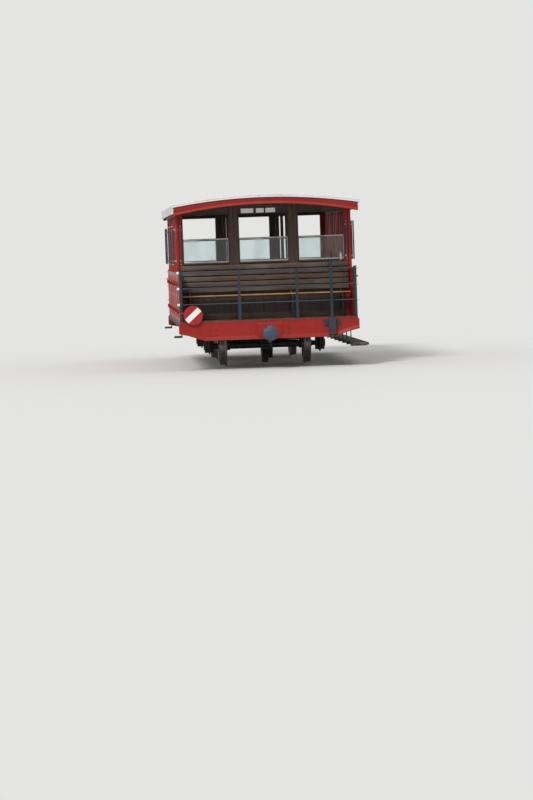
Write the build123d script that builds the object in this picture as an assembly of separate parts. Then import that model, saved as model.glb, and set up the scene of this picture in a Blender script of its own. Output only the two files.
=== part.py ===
from build123d import *
from math import asin, atan2, cos, sin, tau
import os

# An open-fronted rack railway coach on two axles, in millimetres.
# X runs across the coach, Y along it, and Z up. The uphill end is at -Y.
# Z = 0 is the level on which the wheel flanges stand, and the origin is below the middle of the coach.
# Each sub-assembly is a function that returns its pieces, and the last lines write one file for each node.

# Running gear
GAUGE = 1435.0
WHEELBASE = 3800.0
TREAD_RADIUS = 340.0
FLANGE_HEIGHT = 28.0
TYRE_WIDTH = 130.0
TYRE_DEPTH = 52.0
FLANGE_PLAY = 10.0
HUB_RADIUS = 100.0
HUB_WIDTH = 170.0
SPOKES = 10
SPOKE_WIDTH = 58.0
SPOKE_DEPTH = 34.0
AXLE_RADIUS = 62.0
JOURNAL_RADIUS = 45.0
JOURNAL_PLAY = 0.08
JOURNAL_LENGTH = 150.0
BOX_WIDTH = 190.0
BOX_HEIGHT = 230.0
BOX_DEPTH = 150.0
GUARD_THICKNESS = 16.0
GUARD_LEG = 85.0
GUARD_BELOW = 30.0
GUARD_ABOVE = 20.0
GUARD_FLARE = 90.0
KEEP_LAP = 4.0
KEEP_HEIGHT = 26.0
SPRING_LENGTH = 940.0
SPRING_SAG = 46.0
SPRING_WIDTH = 80.0
LEAF_THICKNESS = 12.0
LEAVES = 6
BOX_PLAY = 0.3
SHACKLE_WIDTH = 46.0

# Brake cog wheel that runs in the rack
COG_TEETH = 18
COG_PITCH = 100.0
COG_WIDTH = 110.0
COG_ADDENDUM = 30.0
COG_DEDENDUM = 36.0
COG_PLAY = 0.08
DRUM_RADIUS = 235.0
DRUM_WIDTH = 80.0
SHOE_GAP = 6.0
SHOE_THICKNESS = 48.0

# Underframe and floor
BODY_LENGTH = 7300.0
FLOOR_TOP = 848.0
FLOOR_THICKNESS = 30.0
SOLEBAR_X = 985.0
SOLEBAR_DEPTH = 190.0
SOLEBAR_WIDTH = 75.0
STEEL_WEB = 12.0
CROSS_DEPTH = 110.0
CROSS_WIDTH = 70.0
CROSS_OFF = 302.0
CROSS_MIDDLE = 700.0
CROSS_BULKHEAD = 180.0
CROSS_END = 260.0
HEADSTOCK_OVER = 20.0
HEADSTOCK_THICKNESS = 80.0
HEADSTOCK_MIDDLE_DEPTH = 300.0
HEADSTOCK_END_DEPTH = 172.0
HEADSTOCK_KNEE_DEPTH = 208.0
HEADSTOCK_SLOPE_START = 440.0
HEADSTOCK_KNEE = 160.0
SKIRT_HEIGHT = 66.0
SKIRT_FLARE = 26.0
SILL_HEIGHT = 62.0
SILL_WIDTH = 90.0

# Body sides
SIDE_HALF = 1540.0
WALL = 50.0
PANEL = 40.0
WAIST_HEIGHT = 850.0
COMPARTMENTS = 4
END_PLATFORM = 970.0
BULKHEAD_PILLAR = 100.0
PARTITION_PILLAR = 80.0
DOOR_PILLAR = 60.0
DOOR_WIDTH = 580.0
DOOR_GAP = 6.0
DOOR_SILL_GAP = 12.0
CAP_HEIGHT = 34.0
CANTRAIL_DEPTH = 162.0
PANE = 6.0
HINGE_OUT = 20.0
PIN_RADIUS = 7.0
PIN_PLAY = 0.1
KNUCKLE_RADIUS = 13.0
KNUCKLE_HEIGHT = 44.0
HINGE_SEAT = 22.0
HINGE_LEAF = 6.0
STRAP_LENGTH = 300.0
STRAP_HEIGHT = 36.0
HINGE_HEIGHTS = (170.0, 640.0)
HANDLE_UNDER = 150.0
HANDLE_IN = 60.0
HANDLE_OUT = 38.0
HANDLE_LENGTH = 96.0

# Bulkheads and partitions
BULKHEAD = 45.0
POST_PROUD = 8.0
BULKHEAD_SILL = 1000.0
HEADER_UNDER = 12.0
POST_INNER = 435.0
POST_OUTER = 605.0
END_POST = 70.0
SASH_TOP = 1430.0
SASH_THICKNESS = 22.0
PARTITION = 30.0
PARTITION_HEIGHT = 1000.0
PARTITION_POST = 56.0
PARTITION_POST_X = 500.0
PLATE_THICKNESS = 5.0
PLATE_HEIGHT = 92.0
# Notice plates on the bulkhead's head: left edge and width
PLATES = ((-382.0, 220.0), (-118.0, 138.0), (49.0, 171.0))

# Benches
SEAT_HEIGHT = 440.0
SEAT_DEPTH = 400.0
SEAT_SLATS = 4
SEAT_SLAT_GAP = 12.0
SLAT = 22.0
GROOVE = 10.0
BACK_SLATS = 5
BACK_SLAT_GAP = 16.0
BACK_GAP = 50.0
LEG_RAIL = 70.0
BACK_FOOT = 96.0
BACK_TOP = 50.0
BACK_HEIGHT = 960.0
BRACKET = 30.0
BRACKET_INNER = 450.0
BRACKET_OUTER = 160.0
LEG_WIDTH = 46.0
BENCH_END_GAP = 20.0

# Roof
ROOF_OVER = 50.0
ROOF_CROWN = 3000.0
ROOF_RISE = 138.0
ROOF_THICKNESS = 40.0
FASCIA_THICKNESS = 30.0
FASCIA_DEPTH_MIDDLE = 153.0
FASCIA_DEPTH_END = 179.0
GUTTER = 38.0
GUTTER_HEIGHT = 150.0
EDGING = 22.0
EDGING_HEIGHT = 46.0
EDGING_OVER = 6.0
RIB_DEPTH = 55.0
RIB_WIDTH = 45.0

# End fittings
POST = 50.0
ROD_RADIUS = 11.0
ROD_HEIGHTS = (300.0, 575.0, 850.0)
CAP_NUT_RADIUS = 17.0
ROD_OVER = 24.0
STANCHION_X = 500.0
STANCHION_WIDTH = 46.0
STANCHION_THICKNESS = 14.0
COLUMN_IN = 475.0
COLUMN_OUT = 62.0
COLUMN_RADIUS = 25.0
COLUMN_TOP = 960.0
CRANK_ARM = 180.0
CRANK_GRIP = 145.0
CRANK_RISE = 20.0
CRANK_THICKNESS = 16.0
CRANK_HEEL = 24.0
CRANK_TOE = 16.0
GRIP_RADIUS = 15.0
GRIP_SINK = 10.0
NECK_RADIUS = 16.0
NECK_SINK = 4.0
NECK_OVER = 6.0
COLUMN_TAIL = 60.0
COLUMN_CAP = 60.0
COLUMN_CAP_RADIUS = 37.0
COLUMN_STAY = (28.0, 24.0)
FOOT_BAR = (290.0, 90.0, 26.0)
FOOT_BAR_UNDER = 12.0
FOOT_BLOCK = (120.0, 290.0)
FOOT_RISE = 4.0
FOOT_LIP = 8.0
DISC_RADIUS = 166.0
DISC_THICKNESS = 8.0
DISC_ARM = 32.0
DISC_ARM_RISE = 40.0
DISC_ARM_END = 40.0
DISC_ARM_THICKNESS = 12.0
DISC_ARM_IN = 12.0
DISC_STEM = 40.0
DISC_STEM_LAP = 11.0
DISC_STEM_SINK = 1.0
DISC_IN = 250.0
DISC_HEIGHT = 116.0
DISC_OUT = 50.0
BUFFER_Z = 620.0
BUFFER_REACH = 350.0
BUFFER_HEAD_RADIUS = 132.0
BUFFER_HOUSING_RADIUS = 78.0
BUFFER_HOUSING_LENGTH = 190.0
BUFFER_STEM_RADIUS = 45.0
BUFFER_DOME = 26.0
BUFFER_PLATE = (420.0, 300.0, 16.0)
COUPLING_REACH = 75.0
COUPLING_DEPTH = 76.0
COUPLING_THICKNESS = 30.0
COUPLING_EYE = 16.0
COUPLING_EYE_IN = 35.0
COUPLING_ROOT = 120.0
COUPLING_HEEL = 160.0
COUPLING_STRUT = 130.0

# Steps and grab rails
BOARD_UNDER = 120.0
BOARD_WIDTH = 295.0
BOARD_TOP = 395.0
BOARD_THICKNESS = 40.0
HANGER_WIDTH = 50.0
HANGER_THICKNESS = 14.0
HANGER_TOE = 30.0
HANGER_MIDDLE = 182.5
HANGER_AXLE = 167.0
HANGER_BULKHEAD = 212.5
HANGER_END = 140.0
STEP_TOP = 610.0
STEP_UNDER = 40.0
STEP_WIDTH = 140.0
STEP_LENGTH = 300.0
STEP_THICKNESS = 30.0
STEP_GAP = 5.0
STEP_BAR_IN = 30.0
GRAB_RADIUS = 12.0
GRAB_OUT = 46.0
GRAB_LOW = 1000.0
GRAB_UNDER = 192.0
STEM_RADIUS = 9.0
STEM_IN = 55.0
STEM_CUT = 50.0

# Values that follow from the ones above
HEADSTOCK_HALF = SIDE_HALF + HEADSTOCK_OVER
ROOF_HALF = SIDE_HALF + ROOF_OVER
COLUMN_X = HEADSTOCK_HALF - COLUMN_IN
DISC_X = DISC_IN - HEADSTOCK_HALF
BOARD_INNER = SIDE_HALF - BOARD_UNDER
STEP_INNER = SIDE_HALF - STEP_UNDER
AXLE_Z = TREAD_RADIUS + FLANGE_HEIGHT
WHEEL_BACK = GAUGE / 2 - FLANGE_PLAY - 27.0
JOURNAL_X = SOLEBAR_X
END_Y = BODY_LENGTH / 2
COMPARTMENT_LENGTH = (BODY_LENGTH - 2 * END_PLATFORM) / COMPARTMENTS
ROOF_EAVE = ROOF_CROWN - ROOF_RISE
CANTRAIL_BOTTOM = ROOF_EAVE - CANTRAIL_DEPTH
FASCIA_LOW_MIDDLE = ROOF_CROWN - FASCIA_DEPTH_MIDDLE
FASCIA_LOW_END = ROOF_EAVE - FASCIA_DEPTH_END
FRAME_TOP = FLOOR_TOP - FLOOR_THICKNESS
BULKHEAD_HEAD = CANTRAIL_BOTTOM - HEADER_UNDER - FLOOR_TOP
BULKHEAD_Y = COMPARTMENTS * COMPARTMENT_LENGTH / 2
WAIST = FLOOR_TOP + WAIST_HEIGHT
WALL_INNER = SIDE_HALF - WALL
DISC_Z = FLOOR_TOP + DISC_HEIGHT
BRACKET_XS = [
    side * x for side in (-1, 1) for x in (BRACKET_INNER, WALL_INNER - BRACKET_OUTER)
]
PANEL_OUT = SIDE_HALF - (WALL - PANEL) / 2
PANEL_IN = PANEL_OUT - PANEL
HINGE_X = SIDE_HALF + HINGE_OUT
UNDER_CROWN = ROOF_CROWN - ROOF_THICKNESS
UNDER_EAVE = ROOF_EAVE - ROOF_THICKNESS
RAIL_Y = END_Y - HEADSTOCK_THICKNESS / 2
ENDS = {"uphill": -1, "downhill": 1}
SIDES = {"left": -1, "right": 1}


def block(x0, x1, y0, y1, z0, z1):
    """A box between two corners, given in any order."""
    size = (abs(x1 - x0), abs(y1 - y0), abs(z1 - z0))
    return Pos((x0 + x1) / 2, (y0 + y1) / 2, (z0 + z1) / 2) * Box(*size)


def rod(start, end, radius):
    """A round bar from one point to another."""
    run = Vector(*end) - Vector(*start)
    plane = Plane(origin=start, z_dir=run.normalized())
    return extrude(plane * Circle(radius), amount=run.length)


def across(points, x0, x1):
    """A profile of (y, z) points carried along X from x0 to x1."""
    plane = Plane(origin=(min(x0, x1), 0, 0), x_dir=(0, 1, 0), z_dir=(1, 0, 0))
    return extrude(plane * make_face(Polyline(*points, close=True)), amount=abs(x1 - x0))


def along(face, y0, y1):
    """A face drawn in (x, z) carried along Y from y0 to y1."""
    plane = Plane(origin=(0, max(y0, y1), 0), x_dir=(1, 0, 0), z_dir=(0, -1, 0))
    return extrude(plane * face, amount=abs(y1 - y0))


def arched(half, top, low, y0, y1):
    """A board across the coach whose top and low edges are arcs, each given as (middle z, end z)."""
    edges = [
        ThreePointArc((-half, top[1]), (0, top[0]), (half, top[1])),
        Line((half, top[1]), (half, low[1])),
        ThreePointArc((half, low[1]), (0, low[0]), (-half, low[1])),
        Line((-half, low[1]), (-half, top[1])),
    ]
    return along(make_face(edges), y0, y1)


def under_roof(y0, y1):
    """All the space below the roof's underside, for cutting what reaches up to it."""
    edges = [
        ThreePointArc((-ROOF_HALF, UNDER_EAVE), (0, UNDER_CROWN), (ROOF_HALF, UNDER_EAVE)),
        Polyline((ROOF_HALF, UNDER_EAVE), (ROOF_HALF, 0), (-ROOF_HALF, 0), (-ROOF_HALF, UNDER_EAVE)),
    ]
    return along(make_face(edges), y0, y1)


def turned(points, x):
    """A profile of (distance along X, radius) points turned about an X axis through the origin."""
    face = make_face(Polyline(*[(x + a, r) for a, r in points], close=True))
    return revolve(face, axis=Axis.X)


def fuse(pieces):
    """One solid from pieces that touch or overlap."""
    first, *rest = pieces
    return first.fuse(*rest) if rest else first


def save(name, *pieces):
    """Writes the solids of one node to its file."""
    solids = [solid for piece in pieces for solid in piece.solids()]
    export_step(solids[0] if len(solids) == 1 else Compound(children=solids), f"parts/{name}.step")


# Places along the side, worked out once for doors, pillars, panels, windows, hangers and rails

CORNER_EDGE = RAIL_Y - POST / 2
END_HINGE_PILLAR = BULKHEAD_Y + BULKHEAD / 2 + SEAT_DEPTH + DOOR_PILLAR / 2


def door_places():
    """Each door of a side, from the uphill end: number, low y, high y and the y of its hinge edge's side."""
    end_low = END_HINGE_PILLAR + DOOR_PILLAR / 2 + DOOR_GAP
    end_high = CORNER_EDGE - DOOR_GAP
    places = [(-end_high, -end_low, 1)]
    for n in range(COMPARTMENTS):
        middle = -BULKHEAD_Y + (n + 0.5) * COMPARTMENT_LENGTH
        places.append((middle - DOOR_WIDTH / 2, middle + DOOR_WIDTH / 2, 1))
    places.append((end_low, end_high, -1))
    return [(n + 1, low, high, hinge) for n, (low, high, hinge) in enumerate(places)]


def pillar_places():
    """Each pillar of a side: middle y, width and top z."""
    places = []
    for end in ENDS.values():
        places.append((end * END_HINGE_PILLAR, DOOR_PILLAR, WAIST))
        places.append((end * BULKHEAD_Y, BULKHEAD_PILLAR, CANTRAIL_BOTTOM))
    for n in range(1, COMPARTMENTS):
        places.append((-BULKHEAD_Y + n * COMPARTMENT_LENGTH, PARTITION_PILLAR, CANTRAIL_BOTTOM))
    for _, low, high, _ in door_places()[1:-1]:
        for y in (low - DOOR_GAP - DOOR_PILLAR / 2, high + DOOR_GAP + DOOR_PILLAR / 2):
            places.append((y, DOOR_PILLAR, CANTRAIL_BOTTOM))
    return sorted(places)


def fixed_bays():
    """Each closed bay between two pillars: low y, high y and whether it has a window."""
    doors = [(low, high) for _, low, high, _ in door_places()]
    bays = []
    pillars = pillar_places()
    for (y0, w0, top0), (y1, w1, top1) in zip(pillars, pillars[1:]):
        low, high = y0 + w0 / 2, y1 - w1 / 2
        if any(a < high and b > low for a, b in doors):
            continue
        bays.append((low, high, min(top0, top1) > WAIST))
    return bays


# Running gear


def wheel_pair(y):
    """Two spoked wheels with flanges, bored for their axle."""
    rim_in = TREAD_RADIUS - TYRE_DEPTH
    flange = TREAD_RADIUS + FLANGE_HEIGHT
    tyre = [
        (0, rim_in),
        (0, flange - 9),
        (9, flange),
        (21, flange),
        (34, TREAD_RADIUS),
        (TYRE_WIDTH, TREAD_RADIUS - 5),
        (TYRE_WIDTH, rim_in),
    ]
    hub_in = (TYRE_WIDTH - HUB_WIDTH) / 2
    hub = [
        (hub_in, AXLE_RADIUS),
        (hub_in, HUB_RADIUS),
        (hub_in + HUB_WIDTH, HUB_RADIUS),
        (hub_in + HUB_WIDTH, AXLE_RADIUS),
    ]
    wheels = []
    for side in SIDES.values():
        pieces = [turned(tyre, 0), turned(hub, 0)]
        spoke_low, spoke_high = (HUB_RADIUS + AXLE_RADIUS) / 2, rim_in + 6
        spoke = Pos(TYRE_WIDTH / 2, 0, (spoke_low + spoke_high) / 2) * Box(
            SPOKE_DEPTH, SPOKE_WIDTH, spoke_high - spoke_low
        )
        pieces += [Rot(360 * n / SPOKES, 0, 0) * spoke for n in range(SPOKES)]
        wheel = Pos(WHEEL_BACK, 0, 0) * fuse(pieces)
        if side < 0:
            wheel = Rot(0, 0, 180) * wheel
        wheels.append(Pos(0, y, AXLE_Z) * wheel)
    return wheels


def axle(y):
    """The axle shaft with a journal at each end."""
    seat_end = WHEEL_BACK + (TYRE_WIDTH + HUB_WIDTH) / 2
    journal_end = JOURNAL_X + JOURNAL_LENGTH / 2 - 10
    half = [(0, AXLE_RADIUS), (seat_end, AXLE_RADIUS), (seat_end, JOURNAL_RADIUS),
            (journal_end, JOURNAL_RADIUS)]
    outline = [(-a, r) for a, r in reversed(half[1:])] + half[1:]
    face = make_face(Polyline((-journal_end, 0), *outline, (journal_end, 0), close=True))
    return Pos(0, y, AXLE_Z) * revolve(face, axis=Axis.X)


def brake_cog(y):
    """The toothed wheel that runs in the rack, with its brake drum, free to turn on the axle."""
    pitch_radius = COG_TEETH * COG_PITCH / tau
    root, tip = pitch_radius - COG_DEDENDUM, pitch_radius + COG_ADDENDUM
    half_root, half_tip = COG_PITCH * 0.33, COG_PITCH * 0.16
    body = turned([(-COG_WIDTH / 2, AXLE_RADIUS + COG_PLAY), (-COG_WIDTH / 2, root),
                   (COG_WIDTH / 2, root), (COG_WIDTH / 2, AXLE_RADIUS + COG_PLAY)], 0)
    drum_end = COG_WIDTH / 2 + DRUM_WIDTH
    drum = turned([(COG_WIDTH / 2 - 1, AXLE_RADIUS + COG_PLAY), (COG_WIDTH / 2 - 1, DRUM_RADIUS),
                   (drum_end, DRUM_RADIUS), (drum_end, AXLE_RADIUS + COG_PLAY)], 0)
    foot = (root ** 2 - half_root ** 2) ** 0.5 - 2
    tooth = across([(-half_root, foot), (half_root, foot), (half_tip, tip), (-half_tip, tip)],
                   -COG_WIDTH / 2, COG_WIDTH / 2)
    teeth = [Rot(360 * n / COG_TEETH, 0, 0) * tooth for n in range(COG_TEETH)]
    return Pos(0, y, AXLE_Z) * fuse([body, drum, *teeth])


def axle_box(side, y):
    """A box on the journal's end, open to the axle and closed outside."""
    inner, outer = side * (JOURNAL_X - BOX_DEPTH / 2), side * (JOURNAL_X + BOX_DEPTH / 2)
    case = block(inner, outer, y - BOX_WIDTH / 2, y + BOX_WIDTH / 2,
                 AXLE_Z - BOX_HEIGHT / 2, AXLE_Z + BOX_HEIGHT / 2)
    bore = rod((side * (JOURNAL_X - BOX_DEPTH), y, AXLE_Z),
               (side * (JOURNAL_X + JOURNAL_LENGTH / 2 - 5), y, AXLE_Z), JOURNAL_RADIUS + JOURNAL_PLAY)
    cover = rod((outer, y, AXLE_Z), (outer + side * 18, y, AXLE_Z), BOX_WIDTH * 0.36)
    return fuse([case, cover]) - bore


def axle_guard(side, y):
    """The plate that hangs from the solebar and holds an axle box between its two legs."""
    slot, width = BOX_WIDTH / 2 + BOX_PLAY, BOX_WIDTH / 2 + BOX_PLAY + GUARD_LEG
    low, crotch = AXLE_Z - BOX_HEIGHT / 2 - GUARD_BELOW, AXLE_Z + BOX_HEIGHT / 2 + GUARD_ABOVE
    top, foot = FRAME_TOP - SOLEBAR_DEPTH, width + GUARD_FLARE
    outline = [(y - width, low), (y - slot, low), (y - slot, crotch), (y + slot, crotch), (y + slot, low),
               (y + width, low), (y + foot, top), (y - foot, top)]
    inner, outer = side * (JOURNAL_X - GUARD_THICKNESS / 2), side * (JOURNAL_X + GUARD_THICKNESS / 2)
    plate = across(outline, inner, outer)
    keep = block(inner, outer, y - slot - KEEP_LAP, y + slot + KEEP_LAP, low, low + KEEP_HEIGHT)
    return fuse([plate, keep])


def leaf_spring(side, y):
    """Stacked leaves over an axle box, hung from the solebar at both ends."""
    buckle_low = AXLE_Z + BOX_HEIGHT / 2
    x0 = side * (JOURNAL_X + GUARD_THICKNESS / 2 + 2)
    x1 = x0 + side * SPRING_WIDTH
    pieces = []
    base = buckle_low + 12
    for n in range(LEAVES):
        half = SPRING_LENGTH / 2 * (1 - 0.13 * (LEAVES - 1 - n))
        sag = SPRING_SAG * (half / (SPRING_LENGTH / 2)) ** 2
        low, high = base + n * LEAF_THICKNESS, base + (n + 1) * LEAF_THICKNESS + 0.5
        edges = [
            ThreePointArc((y - half, low + sag), (y, low), (y + half, low + sag)),
            Line((y + half, low + sag), (y + half, high + sag)),
            ThreePointArc((y + half, high + sag), (y, high), (y - half, high + sag)),
            Line((y - half, high + sag), (y - half, low + sag)),
        ]
        plane = Plane(origin=(min(x0, x1), 0, 0), x_dir=(0, 1, 0), z_dir=(1, 0, 0))
        pieces.append(extrude(plane * make_face(edges), amount=SPRING_WIDTH))
    stack_top = base + LEAVES * LEAF_THICKNESS
    buckle_x = x1 + side * 8
    pieces.append(block(x0, buckle_x, y - 40, y + 40, buckle_low, stack_top + 14))
    for end in (-1, 1):
        reach = y + end * (SPRING_LENGTH / 2 - SHACKLE_WIDTH / 2)
        pieces.append(block(x0, x1, reach - SHACKLE_WIDTH / 2, reach + SHACKLE_WIDTH / 2,
                            stack_top + SPRING_SAG - LEAF_THICKNESS, FRAME_TOP - SOLEBAR_DEPTH))
    return fuse(pieces)


def brake_rigging(y):
    """A shoe on each side of the cog's drum, on a lever that hangs from a cross member."""
    shoe_low, shoe_high = DRUM_RADIUS + SHOE_GAP, DRUM_RADIUS + SHOE_GAP + SHOE_THICKNESS
    x0, x1 = COG_WIDTH / 2 + 8, COG_WIDTH / 2 + DRUM_WIDTH - 8
    ring = turned([(x0, shoe_low), (x0, shoe_high), (x1, shoe_high), (x1, shoe_low)], 0)
    reach = shoe_high + 40
    pieces = []
    for end in (-1, 1):
        sector = across([(0, 0), (end * reach, reach * 0.55), (end * reach, -reach * 0.55)], x0 - 5, x1 + 5)
        shoe = Pos(0, y, AXLE_Z) * (ring & sector)
        lever = block(x1 - 30, x1 - 6, y + end * (shoe_high - 14), y + end * (shoe_high + 26), AXLE_Z - 60,
                      FRAME_TOP - CROSS_DEPTH)
        pieces.append(fuse([shoe, lever]))
    return pieces


# Underframe, floor and headstocks


def cross_offs():
    """How far from the middle each cross member lies: inner, both sides of an axle, bulkhead, end."""
    half_base = WHEELBASE / 2
    return (CROSS_MIDDLE, half_base - CROSS_OFF, half_base + CROSS_OFF, BULKHEAD_Y + CROSS_BULKHEAD,
            END_Y - CROSS_END)


def cross_places():
    """The y of each cross member, the same at both ends of the coach."""
    return sorted(end * y for end in (-1, 1) for y in cross_offs())


def hanger_places():
    """The y of each board hanger: one in the middle, the others beside cross members."""
    inner, axle, _, bulkhead, last = cross_offs()
    ys = (inner + HANGER_MIDDLE, axle + HANGER_AXLE, bulkhead - HANGER_BULKHEAD, last + HANGER_END)
    return sorted([0, *(end * y for end in (-1, 1) for y in ys)])


def solebars():
    """The two channels that run the length of the coach."""
    inside = END_Y - HEADSTOCK_THICKNESS
    low = FRAME_TOP - SOLEBAR_DEPTH
    bars = []
    for side in SIDES.values():
        web = side * (SOLEBAR_X - SOLEBAR_WIDTH / 2)
        pieces = [block(web, web + side * STEEL_WEB, -inside, inside, low, FRAME_TOP)]
        for z in (low, FRAME_TOP - STEEL_WEB):
            pieces.append(block(web, web + side * SOLEBAR_WIDTH, -inside, inside, z, z + STEEL_WEB))
        bars.append(fuse(pieces))
    return bars


def cross_members():
    """The timbers between and outside the solebars, out to the sills."""
    web = SOLEBAR_X - SOLEBAR_WIDTH / 2
    sill_in = SIDE_HALF - SILL_WIDTH
    spans = ((-web, web), (web + SOLEBAR_WIDTH, sill_in), (-sill_in, -web - SOLEBAR_WIDTH))
    return [
        block(x0, x1, y - CROSS_WIDTH / 2, y + CROSS_WIDTH / 2, FRAME_TOP - CROSS_DEPTH, FRAME_TOP)
        for y in cross_places()
        for x0, x1 in spans
    ]


def headstock_outline():
    """The headstock's lower edge from left to right, as (x, z)."""
    right = [
        (HEADSTOCK_HALF - HEADSTOCK_SLOPE_START, FRAME_TOP - HEADSTOCK_MIDDLE_DEPTH),
        (HEADSTOCK_HALF - HEADSTOCK_KNEE, FRAME_TOP - HEADSTOCK_KNEE_DEPTH),
        (HEADSTOCK_HALF, FRAME_TOP - HEADSTOCK_END_DEPTH),
    ]
    return [(-x, z) for x, z in reversed(right)] + right


def headstock(end):
    """The end beam, deep in the middle and shallow at its ends, with a flared strip along its lower edge."""
    outline = headstock_outline()
    top_corners = [(HEADSTOCK_HALF, FRAME_TOP), (-HEADSTOCK_HALF, FRAME_TOP)]
    face = make_face(Polyline(*outline, *top_corners, close=True))
    plate_half, flat = BUFFER_PLATE[0] / 2, FRAME_TOP - HEADSTOCK_MIDDLE_DEPTH
    outer, inner = end * END_Y, end * (END_Y - HEADSTOCK_THICKNESS)
    beam = along(face, outer, inner)
    flares = []
    edge = [*outline[:3], (-plate_half, flat), (plate_half, flat), *outline[3:]]
    for (x0, z0), (x1, z1) in zip(edge, edge[1:]):
        if x1 == -x0:
            continue
        corners = [(0, 0), (end * SKIRT_FLARE, 0), (0, SKIRT_HEIGHT)]
        low = [Vector(x0, outer + a, z0 + b) for a, b in corners]
        high = [Vector(x1, outer + a, z1 + b) for a, b in corners]
        flares.append(loft([make_face(Polyline(*low, close=True)), make_face(Polyline(*high, close=True))],
                           ruled=True))
    return fuse([beam, *flares])


# Body sides


def side_pillars():
    """The upright posts of both sides, each door's hinge pins among them."""
    pillars = []
    hinge_pillars = {}
    for _, low, high, hinge in door_places():
        edge = high if hinge > 0 else low
        hinge_pillars[round(edge + hinge * (DOOR_GAP + DOOR_PILLAR / 2), 3)] = (edge, hinge)
    for side in SIDES.values():
        for y, width, top in pillar_places():
            pieces = [
                block(side * WALL_INNER, side * SIDE_HALF, y - width / 2, y + width / 2, FLOOR_TOP, top)
            ]
            if width == BULKHEAD_PILLAR:
                post = block(side * (WALL_INNER - END_POST), side * WALL_INNER,
                             y - BULKHEAD / 2, y + BULKHEAD / 2, FLOOR_TOP, ROOF_CROWN)
                pieces.append(post & under_roof(y - BULKHEAD, y + BULKHEAD))
            if round(y, 3) in hinge_pillars:
                edge, hinge = hinge_pillars[round(y, 3)]
                axis_y = edge + hinge * DOOR_GAP / 2
                for height in HINGE_HEIGHTS:
                    z = FLOOR_TOP + height
                    seat = rod((side * HINGE_X, axis_y, z - HINGE_SEAT), (side * HINGE_X, axis_y, z),
                               KNUCKLE_RADIUS)
                    arm = block(side * (SIDE_HALF - 1), side * HINGE_X,
                                axis_y + hinge * DOOR_GAP / 2, axis_y + hinge * (DOOR_GAP / 2 + 20),
                                z - HINGE_SEAT, z)
                    tie = block(side * (HINGE_X - 9), side * (HINGE_X + 9),
                                axis_y, axis_y + hinge * (DOOR_GAP / 2 + 20), z - HINGE_SEAT, z)
                    pin = rod((side * HINGE_X, axis_y, z - HINGE_SEAT),
                              (side * HINGE_X, axis_y, z + KNUCKLE_HEIGHT + 6), PIN_RADIUS)
                    pieces += [seat, arm, tie, pin]
            pillars.append(fuse(pieces))
    return pillars


def side_door(side, low, high, hinge):
    """A half-height door with a cap rail, two strap hinges and a handle, closed."""
    bottom = FLOOR_TOP + DOOR_SILL_GAP
    leaf = block(side * PANEL_IN, side * PANEL_OUT, low, high, bottom, WAIST)
    edge = high if hinge > 0 else low
    axis_y = edge + hinge * DOOR_GAP / 2
    pieces = [leaf]
    for height in HINGE_HEIGHTS:
        z = FLOOR_TOP + height + 0.5
        top = z + KNUCKLE_HEIGHT
        strap_low = z + (KNUCKLE_HEIGHT - STRAP_HEIGHT) / 2
        pieces.append(block(side * (PANEL_OUT - 1), side * (PANEL_OUT + HINGE_LEAF), edge,
                            edge - hinge * STRAP_LENGTH, strap_low, strap_low + STRAP_HEIGHT))
        pieces.append(block(side * (PANEL_OUT - 1), side * HINGE_X, edge - hinge * 4, edge - hinge * 18,
                            strap_low, strap_low + STRAP_HEIGHT))
        pieces.append(block(side * (HINGE_X - 8), side * (HINGE_X + 8), axis_y, edge - hinge * 18,
                            strap_low, strap_low + STRAP_HEIGHT))
        pieces.append(rod((side * HINGE_X, axis_y, z), (side * HINGE_X, axis_y, top), KNUCKLE_RADIUS))
    door = fuse(pieces)
    for height in HINGE_HEIGHTS:
        z = FLOOR_TOP + height
        door -= rod((side * HINGE_X, axis_y, z - 5), (side * HINGE_X, axis_y, z + KNUCKLE_HEIGHT + 10),
                    PIN_RADIUS + PIN_PLAY)
    free = low if hinge > 0 else high
    handle_y = free + hinge * HANDLE_IN
    handle_z = WAIST - HANDLE_UNDER
    stem = rod((side * (PANEL_OUT - 1), handle_y, handle_z),
               (side * (PANEL_OUT + HANDLE_OUT - 4), handle_y, handle_z), 9)
    grip = block(side * (PANEL_OUT + HANDLE_OUT - 14), side * (PANEL_OUT + HANDLE_OUT),
                 handle_y - hinge * 12, handle_y + hinge * HANDLE_LENGTH, handle_z - 9, handle_z + 9)
    return fuse([door, stem, grip])


def side_panels():
    """The fixed lower panels of both sides, each with a cap rail."""
    panels = []
    for side in SIDES.values():
        for low, high, _ in fixed_bays():
            panel = block(side * PANEL_IN, side * PANEL_OUT, low, high, FLOOR_TOP, WAIST - CAP_HEIGHT)
            cap = block(side * WALL_INNER, side * SIDE_HALF, low, high, WAIST - CAP_HEIGHT, WAIST)
            panels.append(fuse([panel, cap]))
    return panels


def side_windows():
    """The fixed panes above the panels."""
    middle = (WALL_INNER + SIDE_HALF) / 2
    return [
        block(side * (middle - PANE / 2), side * (middle + PANE / 2), low, high, WAIST, CANTRAIL_BOTTOM)
        for side in SIDES.values()
        for low, high, glazed in fixed_bays()
        if glazed
    ]


def cantrails():
    """The long rails on top of the pillars, shaped to the roof."""
    space = under_roof(-END_Y, END_Y)
    return [
        block(side * WALL_INNER, side * SIDE_HALF, -END_Y, END_Y, CANTRAIL_BOTTOM, ROOF_CROWN) & space
        for side in SIDES.values()
    ]


# Bulkheads, partitions and benches


def bulkhead_bays():
    """The three window openings of a bulkhead, as (low x, high x)."""
    outer = WALL_INNER - END_POST
    return [(-outer, -POST_OUTER), (-POST_INNER, POST_INNER), (POST_OUTER, outer)]


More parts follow.
